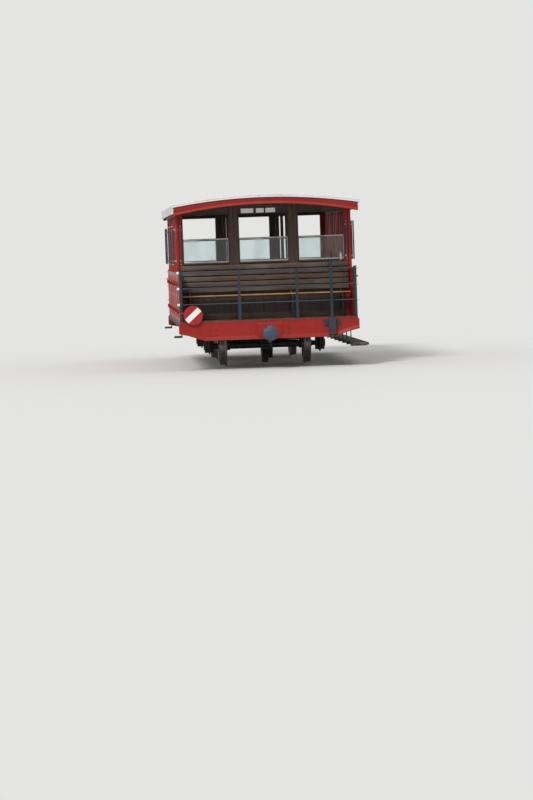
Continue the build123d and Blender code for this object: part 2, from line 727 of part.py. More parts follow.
def bulkhead_panels():
    """The lower walls of both bulkheads, between their posts."""
    return [
        block(low, high, end * BULKHEAD_Y - BULKHEAD / 2, end * BULKHEAD_Y + BULKHEAD / 2, FLOOR_TOP,
              FLOOR_TOP + BULKHEAD_SILL)
        for end in ENDS.values()
        for low, high in bulkhead_bays()
    ]


def bulkhead_posts():
    """The two middle posts of both bulkheads, up to the roof."""
    posts = []
    for end in ENDS.values():
        y0, y1 = end * BULKHEAD_Y - BULKHEAD / 2 - POST_PROUD, end * BULKHEAD_Y + BULKHEAD / 2 + POST_PROUD
        for side in SIDES.values():
            post = block(side * POST_INNER, side * POST_OUTER, y0, y1, FLOOR_TOP, ROOF_CROWN)
            posts.append(post & under_roof(y0, y1))
    return posts


def bulkhead_headers():
    """The boards over the windows of both bulkheads, up to the roof."""
    headers = []
    for end in ENDS.values():
        y0, y1 = end * BULKHEAD_Y - BULKHEAD / 2, end * BULKHEAD_Y + BULKHEAD / 2
        for low, high in bulkhead_bays():
            header = block(low, high, y0, y1, FLOOR_TOP + BULKHEAD_HEAD, ROOF_CROWN)
            headers.append(header & under_roof(y0, y1))
    return headers


def sashes():
    """The half-lowered windows of both bulkheads."""
    panes = []
    for end in ENDS.values():
        y = end * BULKHEAD_Y
        for low, high in bulkhead_bays():
            panes.append(block(low, high, y - SASH_THICKNESS / 2, y + SASH_THICKNESS / 2,
                               FLOOR_TOP + BULKHEAD_SILL, FLOOR_TOP + SASH_TOP))
    return panes


def partition_places():
    """The y of each wall between two compartments."""
    return [-BULKHEAD_Y + n * COMPARTMENT_LENGTH for n in range(1, COMPARTMENTS)]


def partition_walls():
    """The low walls between compartments."""
    return [
        block(-WALL_INNER, WALL_INNER, y - PARTITION / 2, y + PARTITION / 2, FLOOR_TOP,
              FLOOR_TOP + PARTITION_HEIGHT)
        for y in partition_places()
    ]


def partition_posts():
    """Two posts on each low wall, up to the rib above."""
    posts = []
    for y in partition_places():
        y0, y1 = y - PARTITION / 2, y + PARTITION / 2
        for x in (-PARTITION_POST_X, PARTITION_POST_X):
            post = block(x - PARTITION_POST / 2, x + PARTITION_POST / 2, y0, y1,
                         FLOOR_TOP + PARTITION_HEIGHT, ROOF_CROWN)
            posts.append(post & rib_space(y0, y1))
    return posts


def bench_places():
    """Each bench as (y of the wall it stands against, way it faces along Y)."""
    wall = BULKHEAD / 2 + POST_PROUD
    places = [(end * (BULKHEAD_Y + wall), end) for end in ENDS.values()]
    walls = [(-BULKHEAD_Y, wall), *[(y, PARTITION / 2) for y in partition_places()], (BULKHEAD_Y, wall)]
    for (low, low_wall), (high, high_wall) in zip(walls, walls[1:]):
        places += [(low + low_wall, 1), (high - high_wall, -1)]
    return places


def slat_outline(length, count, gap):
    """A board's profile as (along, out), with a groove between each two slats."""
    width = (length - (count - 1) * gap) / count
    points = [(0, 0)]
    for n in range(count):
        start = n * (width + gap)
        points += [(start, SLAT), (start + width, SLAT)]
        if n < count - 1:
            points += [(start + width, SLAT - GROOVE), (start + width + gap, SLAT - GROOVE)]
    return [*points, (length, 0)]


def bench_seats():
    """The slatted seat boards of all benches, each on its cross rails."""
    half = WALL_INNER - BENCH_END_GAP
    start = BACK_FOOT + 6
    outline = slat_outline(SEAT_DEPTH - start, SEAT_SLATS, SEAT_SLAT_GAP)
    low = FLOOR_TOP + SEAT_HEIGHT - SLAT
    seats = []
    for y, way in bench_places():
        pieces = [across([(y + way * (start + a), low + b) for a, b in outline], -half, half)]
        for x in BRACKET_XS:
            pieces.append(block(x - BRACKET / 2, x + BRACKET / 2, y, y + way * (SEAT_DEPTH - 18),
                                low - LEG_RAIL, low))
        seats.append(fuse(pieces))
    return seats


def bench_backs():
    """The slatted, sloping backs of all benches with the wedges behind them."""
    half = WALL_INNER - BENCH_END_GAP
    low, top = SEAT_HEIGHT + BACK_GAP, BACK_HEIGHT
    rise, lean = top - SEAT_HEIGHT, BACK_FOOT - BACK_TOP
    length = (rise ** 2 + lean ** 2) ** 0.5 * (top - low) / rise
    tilt = atan2(lean, rise)
    foot = BACK_FOOT - lean * (low - SEAT_HEIGHT) / rise
    board = [
        (foot - a * sin(tilt) + b * cos(tilt), low + a * cos(tilt) + b * sin(tilt))
        for a, b in slat_outline(length, BACK_SLATS, BACK_SLAT_GAP)
    ]
    wedge = [(0, SEAT_HEIGHT - SLAT), (BACK_FOOT, SEAT_HEIGHT - SLAT), (BACK_FOOT, SEAT_HEIGHT),
             (BACK_TOP, top), (0, top)]
    backs = []
    for y, way in bench_places():
        pieces = [across([(y + way * a, FLOOR_TOP + b) for a, b in board], -half, half)]
        for x in BRACKET_XS:
            pieces.append(across([(y + way * a, FLOOR_TOP + b) for a, b in wedge],
                                 x - BRACKET / 2, x + BRACKET / 2))
        backs.append(fuse(pieces))
    return backs


def bench_legs():
    """The front and back legs of all benches, up to their cross rails."""
    top = FLOOR_TOP + SEAT_HEIGHT - SLAT - LEG_RAIL
    spans = ((0, LEG_WIDTH), (SEAT_DEPTH - 18 - LEG_WIDTH, SEAT_DEPTH - 18))
    return [
        block(x - BRACKET / 2, x + BRACKET / 2, y + way * a, y + way * b, FLOOR_TOP, top)
        for y, way in bench_places()
        for x in BRACKET_XS
        for a, b in spans
    ]


def notice_plates():
    """Blank plates on the head of the uphill bulkhead."""
    face = -BULKHEAD_Y - BULKHEAD / 2
    low = FLOOR_TOP + BULKHEAD_HEAD + 4
    return [block(x, x + width, face - PLATE_THICKNESS, face, low, low + PLATE_HEIGHT) for x, width in PLATES]


# Roof


def rib_space(y0, y1):
    """The space below the ribs, for cutting what stands under them."""
    crown, eave = UNDER_CROWN - RIB_DEPTH, UNDER_EAVE - RIB_DEPTH
    edges = [
        ThreePointArc((-ROOF_HALF, eave), (0, crown), (ROOF_HALF, eave)),
        Polyline((ROOF_HALF, eave), (ROOF_HALF, 0), (-ROOF_HALF, 0), (-ROOF_HALF, eave)),
    ]
    return along(make_face(edges), y0, y1)


def roof_shell():
    """The arched roof from one fascia to the other."""
    return arched(ROOF_HALF, (ROOF_CROWN, ROOF_EAVE), (UNDER_CROWN, UNDER_EAVE), -END_Y, END_Y)


def roof_ribs():
    """Bent battens under the roof, over each partition and door pillar pair."""
    ribs = []
    places = [-BULKHEAD_Y + n * COMPARTMENT_LENGTH / 2 for n in range(1, 2 * COMPARTMENTS)]
    places += [end * (BULKHEAD_Y + END_Y) / 2 for end in ENDS.values()]
    for y in places:
        y0, y1 = y - RIB_WIDTH / 2, y + RIB_WIDTH / 2
        strip = arched(ROOF_HALF, (UNDER_CROWN, UNDER_EAVE),
                       (UNDER_CROWN - RIB_DEPTH, UNDER_EAVE - RIB_DEPTH), y0, y1)
        ribs.append(strip & block(-WALL_INNER, WALL_INNER, y0, y1, 0, ROOF_CROWN + 1))
    return ribs


def fascia(end):
    """The arched board across an end of the roof."""
    return arched(ROOF_HALF, (ROOF_CROWN, ROOF_EAVE), (FASCIA_LOW_MIDDLE, FASCIA_LOW_END),
                  end * END_Y, end * (END_Y + FASCIA_THICKNESS))


def gutters():
    """The pale gutter boards along both eaves, with a curl along the lower edge."""
    length = END_Y + FASCIA_THICKNESS
    low, curl = ROOF_EAVE - GUTTER_HEIGHT, GUTTER / 2
    boards = []
    for side in SIDES.values():
        inner, outer = side * ROOF_HALF, side * (ROOF_HALF + GUTTER)
        edges = [
            Polyline((inner, low + curl), (inner, ROOF_EAVE), (outer - side * 12, ROOF_EAVE),
                     (outer - side * 12, low + GUTTER), (outer, low + curl)),
            ThreePointArc((outer, low + curl), ((inner + outer) / 2, low), (inner, low + curl)),
        ]
        boards.append(along(make_face(edges), -length, length))
    return boards


def roof_edging():
    """The pale strips along the top of both fascias, out to the gutters."""
    half = ROOF_HALF + GUTTER
    face = END_Y + FASCIA_THICKNESS
    top = (ROOF_CROWN + EDGING_OVER, ROOF_EAVE + EDGING_OVER)
    low = (top[0] - EDGING_HEIGHT, top[1] - EDGING_HEIGHT)
    return [arched(half, top, low, end * face, end * (face + EDGING)) for end in ENDS.values()]


# End fittings


def railing_rods():
    """Three rods across each open end, with a cap nut on each tip."""
    half = SIDE_HALF + ROD_OVER
    rods = []
    for end in ENDS.values():
        y = end * RAIL_Y
        for height in ROD_HEIGHTS:
            z = FLOOR_TOP + height
            pieces = [rod((-half, y, z), (half, y, z), ROD_RADIUS)]
            for side in SIDES.values():
                pieces.append(rod((side * (SIDE_HALF - 5), y, z), (side * half, y, z), CAP_NUT_RADIUS))
            rods.append(fuse(pieces))
    return rods


def railing_posts():
    """Corner posts and stanchions of both ends, drilled for the rods."""
    post_x = SIDE_HALF - POST / 2 - 5
    shapes = [(x, POST, POST, 24.0) for x in (-post_x, post_x)]
    shapes += [(x, STANCHION_WIDTH, STANCHION_THICKNESS * 2, 16.0) for x in (-STANCHION_X, STANCHION_X)]
    posts = []
    for end in ENDS.values():
        y = end * RAIL_Y
        for x, width, depth, over in shapes:
            post = block(x - width / 2, x + width / 2, y - depth / 2, y + depth / 2, FLOOR_TOP,
                         FLOOR_TOP + ROD_HEIGHTS[-1] + over)
            for height in ROD_HEIGHTS:
                z = FLOOR_TOP + height
                post -= rod((x - width, y, z), (x + width, y, z), ROD_RADIUS)
            posts.append(post)
    return posts


def brake_column():
    """The hand-brake column on the uphill headstock, its foot, its stay and its crank."""
    y = -END_Y - COLUMN_OUT
    bar_x, bar_z, bar_y = FOOT_BAR
    block_x, block_z = FOOT_BLOCK
    stay_x, stay_height = COLUMN_STAY
    block_top = FLOOR_TOP + FOOT_RISE
    top = FLOOR_TOP + COLUMN_TOP
    arm_top = top + CRANK_RISE
    stay_z = FLOOR_TOP + ROD_HEIGHTS[-1]
    bar_top = FRAME_TOP - FOOT_BAR_UNDER
    pieces = [
        block(COLUMN_X - bar_x / 2, COLUMN_X + bar_x / 2, -END_Y, -END_Y - bar_y, bar_top - bar_z, bar_top),
        block(COLUMN_X - block_x / 2, COLUMN_X + block_x / 2, -END_Y, y - COLUMN_RADIUS - FOOT_LIP,
              block_top - block_z, block_top),
        rod((COLUMN_X, y, block_top - block_z - COLUMN_TAIL), (COLUMN_X, y, top), COLUMN_RADIUS),
        rod((COLUMN_X, y, top - COLUMN_CAP), (COLUMN_X, y, top), COLUMN_CAP_RADIUS),
        block(COLUMN_X - stay_x / 2, COLUMN_X + stay_x / 2, y, -RAIL_Y - ROD_RADIUS - BOX_PLAY,
              stay_z - stay_height / 2, stay_z + stay_height / 2),
        rod((COLUMN_X, y, top - NECK_SINK), (COLUMN_X, y, arm_top + NECK_OVER), NECK_RADIUS),
        block(COLUMN_X - CRANK_HEEL, COLUMN_X + CRANK_ARM + CRANK_TOE, y - GRIP_RADIUS, y + GRIP_RADIUS,
              arm_top - CRANK_THICKNESS, arm_top),
        rod((COLUMN_X + CRANK_ARM, y, arm_top - GRIP_SINK),
            (COLUMN_X + CRANK_ARM, y, arm_top + CRANK_GRIP), GRIP_RADIUS),
    ]
    return fuse(pieces) - headstock(-1)


def signal_disc():
    """The round end signal on an arm from the left corner post."""
    y = -END_Y - DISC_OUT
    post_front = -RAIL_Y - POST / 2
    low = DISC_Z + DISC_ARM_RISE - DISC_ARM / 2
    high = low + DISC_ARM
    pieces = [
        rod((DISC_X, y, DISC_Z), (DISC_X, y - DISC_THICKNESS, DISC_Z), DISC_RADIUS),
        block(-SIDE_HALF + DISC_ARM_IN, DISC_X + DISC_ARM_END, post_front,
              post_front - DISC_ARM_THICKNESS, low, high),
        block(DISC_X - DISC_STEM / 2, DISC_X + DISC_STEM / 2, post_front - DISC_STEM_LAP,
              y - DISC_STEM_SINK, low, high),
    ]
    return fuse(pieces)


def buffer(end):
    """The central buffer with its backing plate, housing, stem and domed head."""
    plate_x, plate_z, plate_y = BUFFER_PLATE
    face = end * END_Y
    plate_low = FRAME_TOP - HEADSTOCK_MIDDLE_DEPTH + 2
    plate = block(-plate_x / 2, plate_x / 2, face, face + end * plate_y, plate_low, plate_low + plate_z)
    head_low = BUFFER_REACH - BUFFER_DOME - 26
    dome_radius = (BUFFER_HEAD_RADIUS ** 2 + BUFFER_DOME ** 2) / (2 * BUFFER_DOME)
    half_way = asin(BUFFER_HEAD_RADIUS / dome_radius) / 2
    middle = (dome_radius * sin(half_way), BUFFER_REACH - dome_radius * (1 - cos(half_way)))
    edges = [
        Polyline((0, 10), (BUFFER_HOUSING_RADIUS + 12, 10), (BUFFER_HOUSING_RADIUS + 12, 40),
                 (BUFFER_HOUSING_RADIUS, 50), (BUFFER_HOUSING_RADIUS, BUFFER_HOUSING_LENGTH),
                 (BUFFER_STEM_RADIUS, BUFFER_HOUSING_LENGTH), (BUFFER_STEM_RADIUS, head_low),
                 (BUFFER_HEAD_RADIUS, head_low + 8), (BUFFER_HEAD_RADIUS, BUFFER_REACH - BUFFER_DOME)),
        ThreePointArc((BUFFER_HEAD_RADIUS, BUFFER_REACH - BUFFER_DOME), middle, (0, BUFFER_REACH)),
        Line((0, BUFFER_REACH), (0, 10)),
    ]
    turned_part = revolve(Plane.XZ * make_face(edges), axis=Axis.Z)
    return fuse([plate, Pos(0, face, BUFFER_Z) * Rot(-90 * end, 0, 0) * turned_part])


def coupling_plates():
    """The drilled plate below each headstock, carried by the cross member behind it."""
    plates = []
    headstock_low = FRAME_TOP - HEADSTOCK_MIDDLE_DEPTH
    cross_low, cross_in = FRAME_TOP - CROSS_DEPTH, CROSS_END + CROSS_WIDTH / 2
    outline = [
        (-cross_in, cross_low), (-cross_in + CROSS_WIDTH, cross_low), (-COUPLING_ROOT, headstock_low),
        (COUPLING_REACH, headstock_low), (COUPLING_REACH, headstock_low - COUPLING_DEPTH),
        (-COUPLING_HEEL, headstock_low - COUPLING_DEPTH), (-cross_in, cross_low - COUPLING_STRUT),
    ]
    for end in ENDS.values():
        plate = across([(end * (END_Y + a), z) for a, z in outline],
                       -COUPLING_THICKNESS / 2, COUPLING_THICKNESS / 2)
        y, z = end * (END_Y + COUPLING_REACH - COUPLING_EYE_IN), headstock_low - COUPLING_DEPTH / 2
        plates.append(plate - rod((-COUPLING_THICKNESS, y, z), (COUPLING_THICKNESS, y, z), COUPLING_EYE))
    return plates


# Steps and rails


def running_board():
    """The long step under the doors of the right side."""
    return block(BOARD_INNER, BOARD_INNER + BOARD_WIDTH, -END_Y + 10, END_Y - 10, BOARD_TOP - BOARD_THICKNESS,
                 BOARD_TOP)


def board_hangers():
    """The bent bars that hang from the floor and carry the long step from below."""
    low = BOARD_TOP - BOARD_THICKNESS
    inner = BOARD_INNER - HANGER_THICKNESS
    hangers = []
    for y in hanger_places():
        y0, y1 = y - HANGER_WIDTH / 2, y + HANGER_WIDTH / 2
        hangers.append(fuse([
            block(inner, BOARD_INNER, y0, y1, low - HANGER_THICKNESS, FRAME_TOP),
            block(inner, BOARD_INNER + BOARD_WIDTH - HANGER_TOE, y0, y1, low - HANGER_THICKNESS, low),
        ]))
    return hangers


def end_steps():
    """A small step under each left corner, on a bent bar."""
    steps = []
    sill_low = FRAME_TOP - SILL_HEIGHT
    for end in ENDS.values():
        outer = END_Y - HEADSTOCK_THICKNESS - STEP_GAP
        y0, y1, bar = end * outer, end * (outer - STEP_LENGTH), end * (outer - STEP_BAR_IN)
        low = STEP_TOP - STEP_THICKNESS
        steps.append(fuse([
            block(-STEP_INNER, -STEP_INNER - STEP_WIDTH, y0, y1, low, STEP_TOP),
            block(-STEP_INNER, -STEP_INNER - HANGER_THICKNESS, bar, bar - end * HANGER_WIDTH, low, sill_low),
            block(-STEP_INNER, -STEP_INNER - HANGER_THICKNESS, y1, y1 + end * HANGER_WIDTH, low, sill_low),
        ]))
    return steps


def grab_rail_places():
    """Each upright rail as (x, y, step to its wall in x, step to its wall in y)."""
    places = []
    for side in SIDES.values():
        x = side * (SIDE_HALF + GRAB_OUT)
        for _, low, high, hinge in door_places()[1:-1]:
            free = low if hinge > 0 else high
            places.append((x, free - hinge * (DOOR_GAP + DOOR_PILLAR / 2), -side, 0))
        for end in ENDS.values():
            places.append((x, end * BULKHEAD_Y, -side, 0))
            inner_x = side * (WALL_INNER - END_POST / 2)
            places.append((inner_x, end * (BULKHEAD_Y + BULKHEAD / 2 + GRAB_OUT), 0, -end))
    return places


def grab_rails():
    """Upright rails beside the doors and on the bulkheads' end posts."""
    low, high = FLOOR_TOP + GRAB_LOW, CANTRAIL_BOTTOM - GRAB_UNDER
    return [rod((x, y, low), (x, y, high), GRAB_RADIUS) for x, y, _, _ in grab_rail_places()]


def grab_rail_stems():
    """The two short stems that hold each grab rail off its wall."""
    stems = []
    for x, y, step_x, step_y in grab_rail_places():
        for z in (FLOOR_TOP + GRAB_LOW + STEM_IN, CANTRAIL_BOTTOM - GRAB_UNDER - STEM_IN):
            wall = (x + step_x * GRAB_OUT, y + step_y * GRAB_OUT, z)
            stem = rod((x, y, z), wall, STEM_RADIUS)
            stems.append(stem - rod((x, y, z - STEM_CUT), (x, y, z + STEM_CUT), GRAB_RADIUS))
    return stems


def sills():
    """The timbers under the edges of the floor."""
    inside = END_Y - HEADSTOCK_THICKNESS
    return [
        block(side * (SIDE_HALF - SILL_WIDTH), side * SIDE_HALF, -inside, inside,
              FRAME_TOP - SILL_HEIGHT, FRAME_TOP)
        for side in SIDES.values()
    ]


os.makedirs("parts", exist_ok=True)

for end_name, end_sign in ENDS.items():
    axle_y = end_sign * WHEELBASE / 2
    save(f"wheels_{end_name}", *wheel_pair(axle_y))
    save(f"axle_{end_name}", axle(axle_y))
    save(f"headstock_{end_name}", headstock(end_sign))
    save(f"fascia_{end_name}", fascia(end_sign))
    save(f"buffer_{end_name}", buffer(end_sign))

save("brake_cog", brake_cog(-WHEELBASE / 2))
save("brake_rigging", *brake_rigging(-WHEELBASE / 2))
corners = [(side, end * WHEELBASE / 2) for side in SIDES.values() for end in ENDS.values()]
save("axle_boxes", *[axle_box(side, y) for side, y in corners])
save("axle_guards", *[axle_guard(side, y) for side, y in corners])
save("leaf_springs", *[leaf_spring(side, y) for side, y in corners])
save("solebars", *solebars())
save("cross_members", *cross_members())
save("floor", block(-SIDE_HALF, SIDE_HALF, -END_Y, END_Y, FRAME_TOP, FLOOR_TOP))
save("sills", *sills())
save("side_pillars", *side_pillars())
save("side_panels", *side_panels())
save("side_windows", *side_windows())
save("cantrails", *cantrails())
save("bulkhead_panels", *bulkhead_panels())
save("bulkhead_posts", *bulkhead_posts())
save("bulkhead_headers", *bulkhead_headers())
save("bulkhead_sashes", *sashes())
save("partition_walls", *partition_walls())
save("partition_posts", *partition_posts())
save("railing_posts", *railing_posts())
save("railing_rods", *railing_rods())
save("bench_seats", *bench_seats())
save("bench_backs", *bench_backs())
save("bench_legs", *bench_legs())
save("coupling_plates", *coupling_plates())
save("notice_plates", *notice_plates())
save("roof", roof_shell())
save("roof_ribs", *roof_ribs())
save("gutters", *gutters())
save("roof_edging", *roof_edging())
save("brake_column", brake_column())
save("signal_disc", signal_disc())
save("running_board", running_board())
save("board_hangers", *board_hangers())
save("end_steps", *end_steps())
save("grab_rails", *grab_rails())
save("grab_rail_stems", *grab_rail_stems())
for side_name, side_sign in SIDES.items():
    for number, low_y, high_y, hinge_side in door_places():
        save(f"door_{side_name}_{number}", side_door(side_sign, low_y, high_y, hinge_side))
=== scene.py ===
"""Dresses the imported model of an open-ended rack railway coach: finishes, fine pieces, floor, light and camera.

All lengths are in metres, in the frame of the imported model: X runs across the coach, Y along it with the uphill
end at -Y, and Z up. Each sub-assembly is a class whose fields are its sizes and whose methods build its meshes.
Every new surface is worked out with numpy as whole arrays: a grid of two parameters, or a profile along a path.
"""

import logging
import math
from dataclasses import dataclass
from enum import Enum

import bpy
import numpy as np
from mathutils import Matrix


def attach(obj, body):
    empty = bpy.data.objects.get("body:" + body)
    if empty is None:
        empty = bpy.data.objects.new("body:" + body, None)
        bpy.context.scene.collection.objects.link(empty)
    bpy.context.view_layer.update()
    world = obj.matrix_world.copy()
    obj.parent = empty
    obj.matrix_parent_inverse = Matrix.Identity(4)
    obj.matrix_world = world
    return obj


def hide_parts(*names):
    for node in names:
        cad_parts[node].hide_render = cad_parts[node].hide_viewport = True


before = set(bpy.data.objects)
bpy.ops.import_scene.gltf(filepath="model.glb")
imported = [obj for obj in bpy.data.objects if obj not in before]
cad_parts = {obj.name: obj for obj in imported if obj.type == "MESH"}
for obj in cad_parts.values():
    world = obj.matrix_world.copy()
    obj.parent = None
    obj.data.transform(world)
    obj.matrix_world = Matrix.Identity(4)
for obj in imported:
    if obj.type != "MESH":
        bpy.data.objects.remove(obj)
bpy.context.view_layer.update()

LOG = logging.getLogger("coach")
Array = np.ndarray
Vec = tuple[float, float, float]
Rgb = tuple[float, float, float]
Sizes = tuple[float, ...]
Span = tuple[float, float]
Spans = tuple[Span, ...]
Socket = bpy.types.NodeSocket
RIGHT: Vec = (1.0, 0.0, 0.0)
UP: Vec = (0.0, 0.0, 1.0)
ARC_STEPS = 64
SHARP_ANGLE = 32.0
ENDS = {"uphill": -1.0, "downhill": 1.0}
SIDES = {"left": -1.0, "right": 1.0}


@dataclass(frozen=True)
class Coach:
    """The main places of the coach that its sub-assemblies share."""

    end_y: float = 3.65
    side: float = 1.54
    floor: float = 0.848
    frame_top: float = 0.818
    roof_half: float = 1.59
    crown: float = 3.0
    eave: float = 2.862
    roof_thickness: float = 0.04
    bulkhead_y: float = 2.68
    bulkhead: float = 0.045
    partitions: Sizes = (-1.34, 0.0, 1.34)
    rail_y: float = 3.61
    axle_z: float = 0.368
    half_base: float = 1.9

    def arc(self, x: Array, middle: float, end: float, half: float) -> Array:
        """Heights over x of the circle through (0, middle) and (half, end).

        Formula: the radius is (half^2 + rise^2) / (2 rise), with rise = middle - end, and the height is
        middle - radius + sqrt(radius^2 - x^2).

        Args:
            x: Places across the coach.
            middle: Height at x = 0.
            end: Height at x = half.
            half: Half of the chord.

        Returns:
            One height for each x.
        """
        rise = middle - end
        radius = (half**2 + rise**2) / (2 * rise)
        return middle - radius + np.sqrt(radius**2 - np.asarray(x, float) ** 2)


COACH = Coach()
AXLES = {end: out * COACH.half_base for end, out in ENDS.items()}


# Shapes


@dataclass
class Shape:
    """A surface held as whole arrays: points (n, 3), and quads (q, 4) and tris (t, 3) as rows of point numbers."""

    points: Array
    quads: Array
    tris: Array

    def outward(self) -> "Shape":
        """The surface with all faces turned round where it encloses a negative volume.

        Formula: six times the volume is the sum of a . (b x c) over the triangles, about the mean point.
        """
        p = self.points - self.points.mean(0)
        halves = np.vstack([self.quads[:, [0, 1, 2]], self.quads[:, [0, 2, 3]], self.tris])
        a, b, c = (p[halves[:, k]] for k in range(3))
        if np.einsum("ij,ij->", a, np.cross(b, c)) < 0:
            return Shape(self.points, self.quads[:, ::-1], self.tris[:, ::-1])
        return self

    def moved(self, x: float = 0.0, y: float = 0.0, z: float = 0.0) -> "Shape":
        """The surface shifted by (x, y, z)."""
        return Shape(self.points + np.array([x, y, z]), self.quads, self.tris)

    def turned(self, axis: str, degrees: float, about: Vec = (0.0, 0.0, 0.0)) -> "Shape":
        """The surface turned about an axis through a point."""
        turn = np.array(Matrix.Rotation(math.radians(degrees), 3, axis))
        return Shape((self.points - about) @ turn.T + about, self.quads, self.tris)

    def mirrored(self, axis: int) -> "Shape":
        """The surface mirrored in the plane through the origin across axis 0, 1 or 2, still facing outwards."""
        flip = np.ones(3)
        flip[axis] = -1.0
        return Shape(self.points * flip, self.quads[:, ::-1], self.tris[:, ::-1])

    def repeated(self, places: Array | list[Vec]) -> "Shape":
        """One surface of as many copies as places gives shifts (k, 3)."""
        places = np.asarray(places, float).reshape(-1, 3)
        count, size = len(places), len(self.points)
        step = (np.arange(count) * size)[:, None, None]
        return Shape(
            (self.points[None] + places[:, None]).reshape(-1, 3),
            (self.quads[None] + step).reshape(-1, 4),
            (self.tris[None] + step).reshape(-1, 3),
        )

    def about_axis(self, count: int, centre: Vec, start: float = 0.0) -> "Shape":
        """Copies of the surface turned evenly round the X axis through centre."""
        return joined([self.turned("X", start + 360.0 * n / count, centre) for n in range(count)])


def joined(shapes: list[Shape]) -> Shape:
    """Several surfaces as one, with the points and faces of all in their order."""
    starts = np.cumsum([0] + [len(s.points) for s in shapes[:-1]])
    return Shape(
        np.vstack([s.points for s in shapes]),
        np.vstack([s.quads + k for s, k in zip(shapes, starts)]),
        np.vstack([s.tris + k for s, k in zip(shapes, starts)]),
    )


def grid_quads(rows: int, columns: int, wrap_rows: bool = False, wrap_columns: bool = False) -> Array:
    """Quads between neighbouring rows and columns of a grid of points, joined round where wrap is set.

    Args:
        rows: Number of rows.
        columns: Number of points in a row.
        wrap_rows: Joins the last row to the first.
        wrap_columns: Joins the last column to the first.

    Returns:
        Point numbers (q, 4).
    """
    r = np.arange(rows if wrap_rows else rows - 1)[:, None]
    c = np.arange(columns if wrap_columns else columns - 1)[None, :]
    r1, c1 = (r + 1) % rows, (c + 1) % columns
    corners = (r * columns + c, r * columns + c1, r1 * columns + c1, r1 * columns + c)
    return np.stack(np.broadcast_arrays(*corners), -1).reshape(-1, 4)


def carried(profile: Array, path: Array, side: Array, up: Array) -> Shape:
    """A closed profile carried along a path, closed at both ends.

    Formula: point (i, j) is path[i] + across[j] * side[i] + high[j] * up[i]. A fan to the ring's mean point closes
    each end.

    Args:
        profile: Points (k, 2) as (across, high), or (n, k, 2) where the profile changes along the path.
        path: Stations (n, 3).
        side: The across direction, (3,) or (n, 3).
        up: The high direction, (3,) or (n, 3).

    Returns:
        The closed surface.
    """
    path = np.asarray(path, float)
    n = len(path)
    side, up = (np.broadcast_to(np.asarray(v, float), (n, 3)) for v in (side, up))
    profile = np.asarray(profile, float)
    profile = np.broadcast_to(profile, (n, *profile.shape[-2:]))
    ring = path[:, None] + profile[..., :1] * side[:, None] + profile[..., 1:] * up[:, None]
    k = ring.shape[1]
    j = np.arange(k)
    after = (j + 1) % k
    first, last = np.full(k, n * k), np.full(k, n * k + 1)
    caps = np.vstack([np.stack([after, j, first], 1), np.stack([j + (n - 1) * k, after + (n - 1) * k, last], 1)])
    points = np.vstack([ring.reshape(-1, 3), ring[0].mean(0), ring[-1].mean(0)])
    return Shape(points, grid_quads(n, k, wrap_columns=True), caps).outward()


def beam(low: Vec, high: Vec, edge: float = 0.004, steps: int = 1) -> Shape:
    """A bar between two corners, with rounded edges and ends.

    Formula: a rectangle with rounded corners is carried along the longest side. At each end its half sizes shrink by
    edge * (1 - sin t) while the station moves in by edge * (1 - cos t), for t from 0 to a right angle.

    Args:
        low: One corner.
        high: The opposite corner.
        edge: Radius of the edges.
        steps: Parts of each quarter round.

    Returns:
        The closed surface.
    """
    a, b = np.minimum(low, high).astype(float), np.maximum(low, high).astype(float)
    size, middle = b - a, (a + b) / 2
    axis = int(np.argmax(size))
    first, second = (axis + 1) % 3, (axis + 2) % 3
    edge = min(edge, 0.49 * size[first], 0.49 * size[second])
    t = np.linspace(0, math.pi / 2, steps + 1)
    inset, offset = edge * (1 - np.sin(t)), edge * (1 - np.cos(t))
    stations = np.concatenate([a[axis] + offset, (b[axis] - offset)[::-1]])
    inset = np.concatenate([inset, inset[::-1]])
    phi = np.concatenate([np.linspace(0, math.pi / 2, steps + 1) + q * math.pi / 2 for q in range(4)])
    corner = np.repeat([[1, 1], [-1, 1], [-1, -1], [1, -1]], steps + 1, axis=0)
    core = corner * (np.array([size[first], size[second]]) / 2 - edge)
    reach = np.maximum(edge - inset, 0.04 * edge)[:, None, None]
    profile = core[None] + reach * np.stack([np.cos(phi), np.sin(phi)], 1)[None]
    path = np.repeat(middle[None], len(stations), 0)
    path[:, axis] = stations
    unit = np.eye(3)
    return carried(profile, path, unit[first], unit[second])


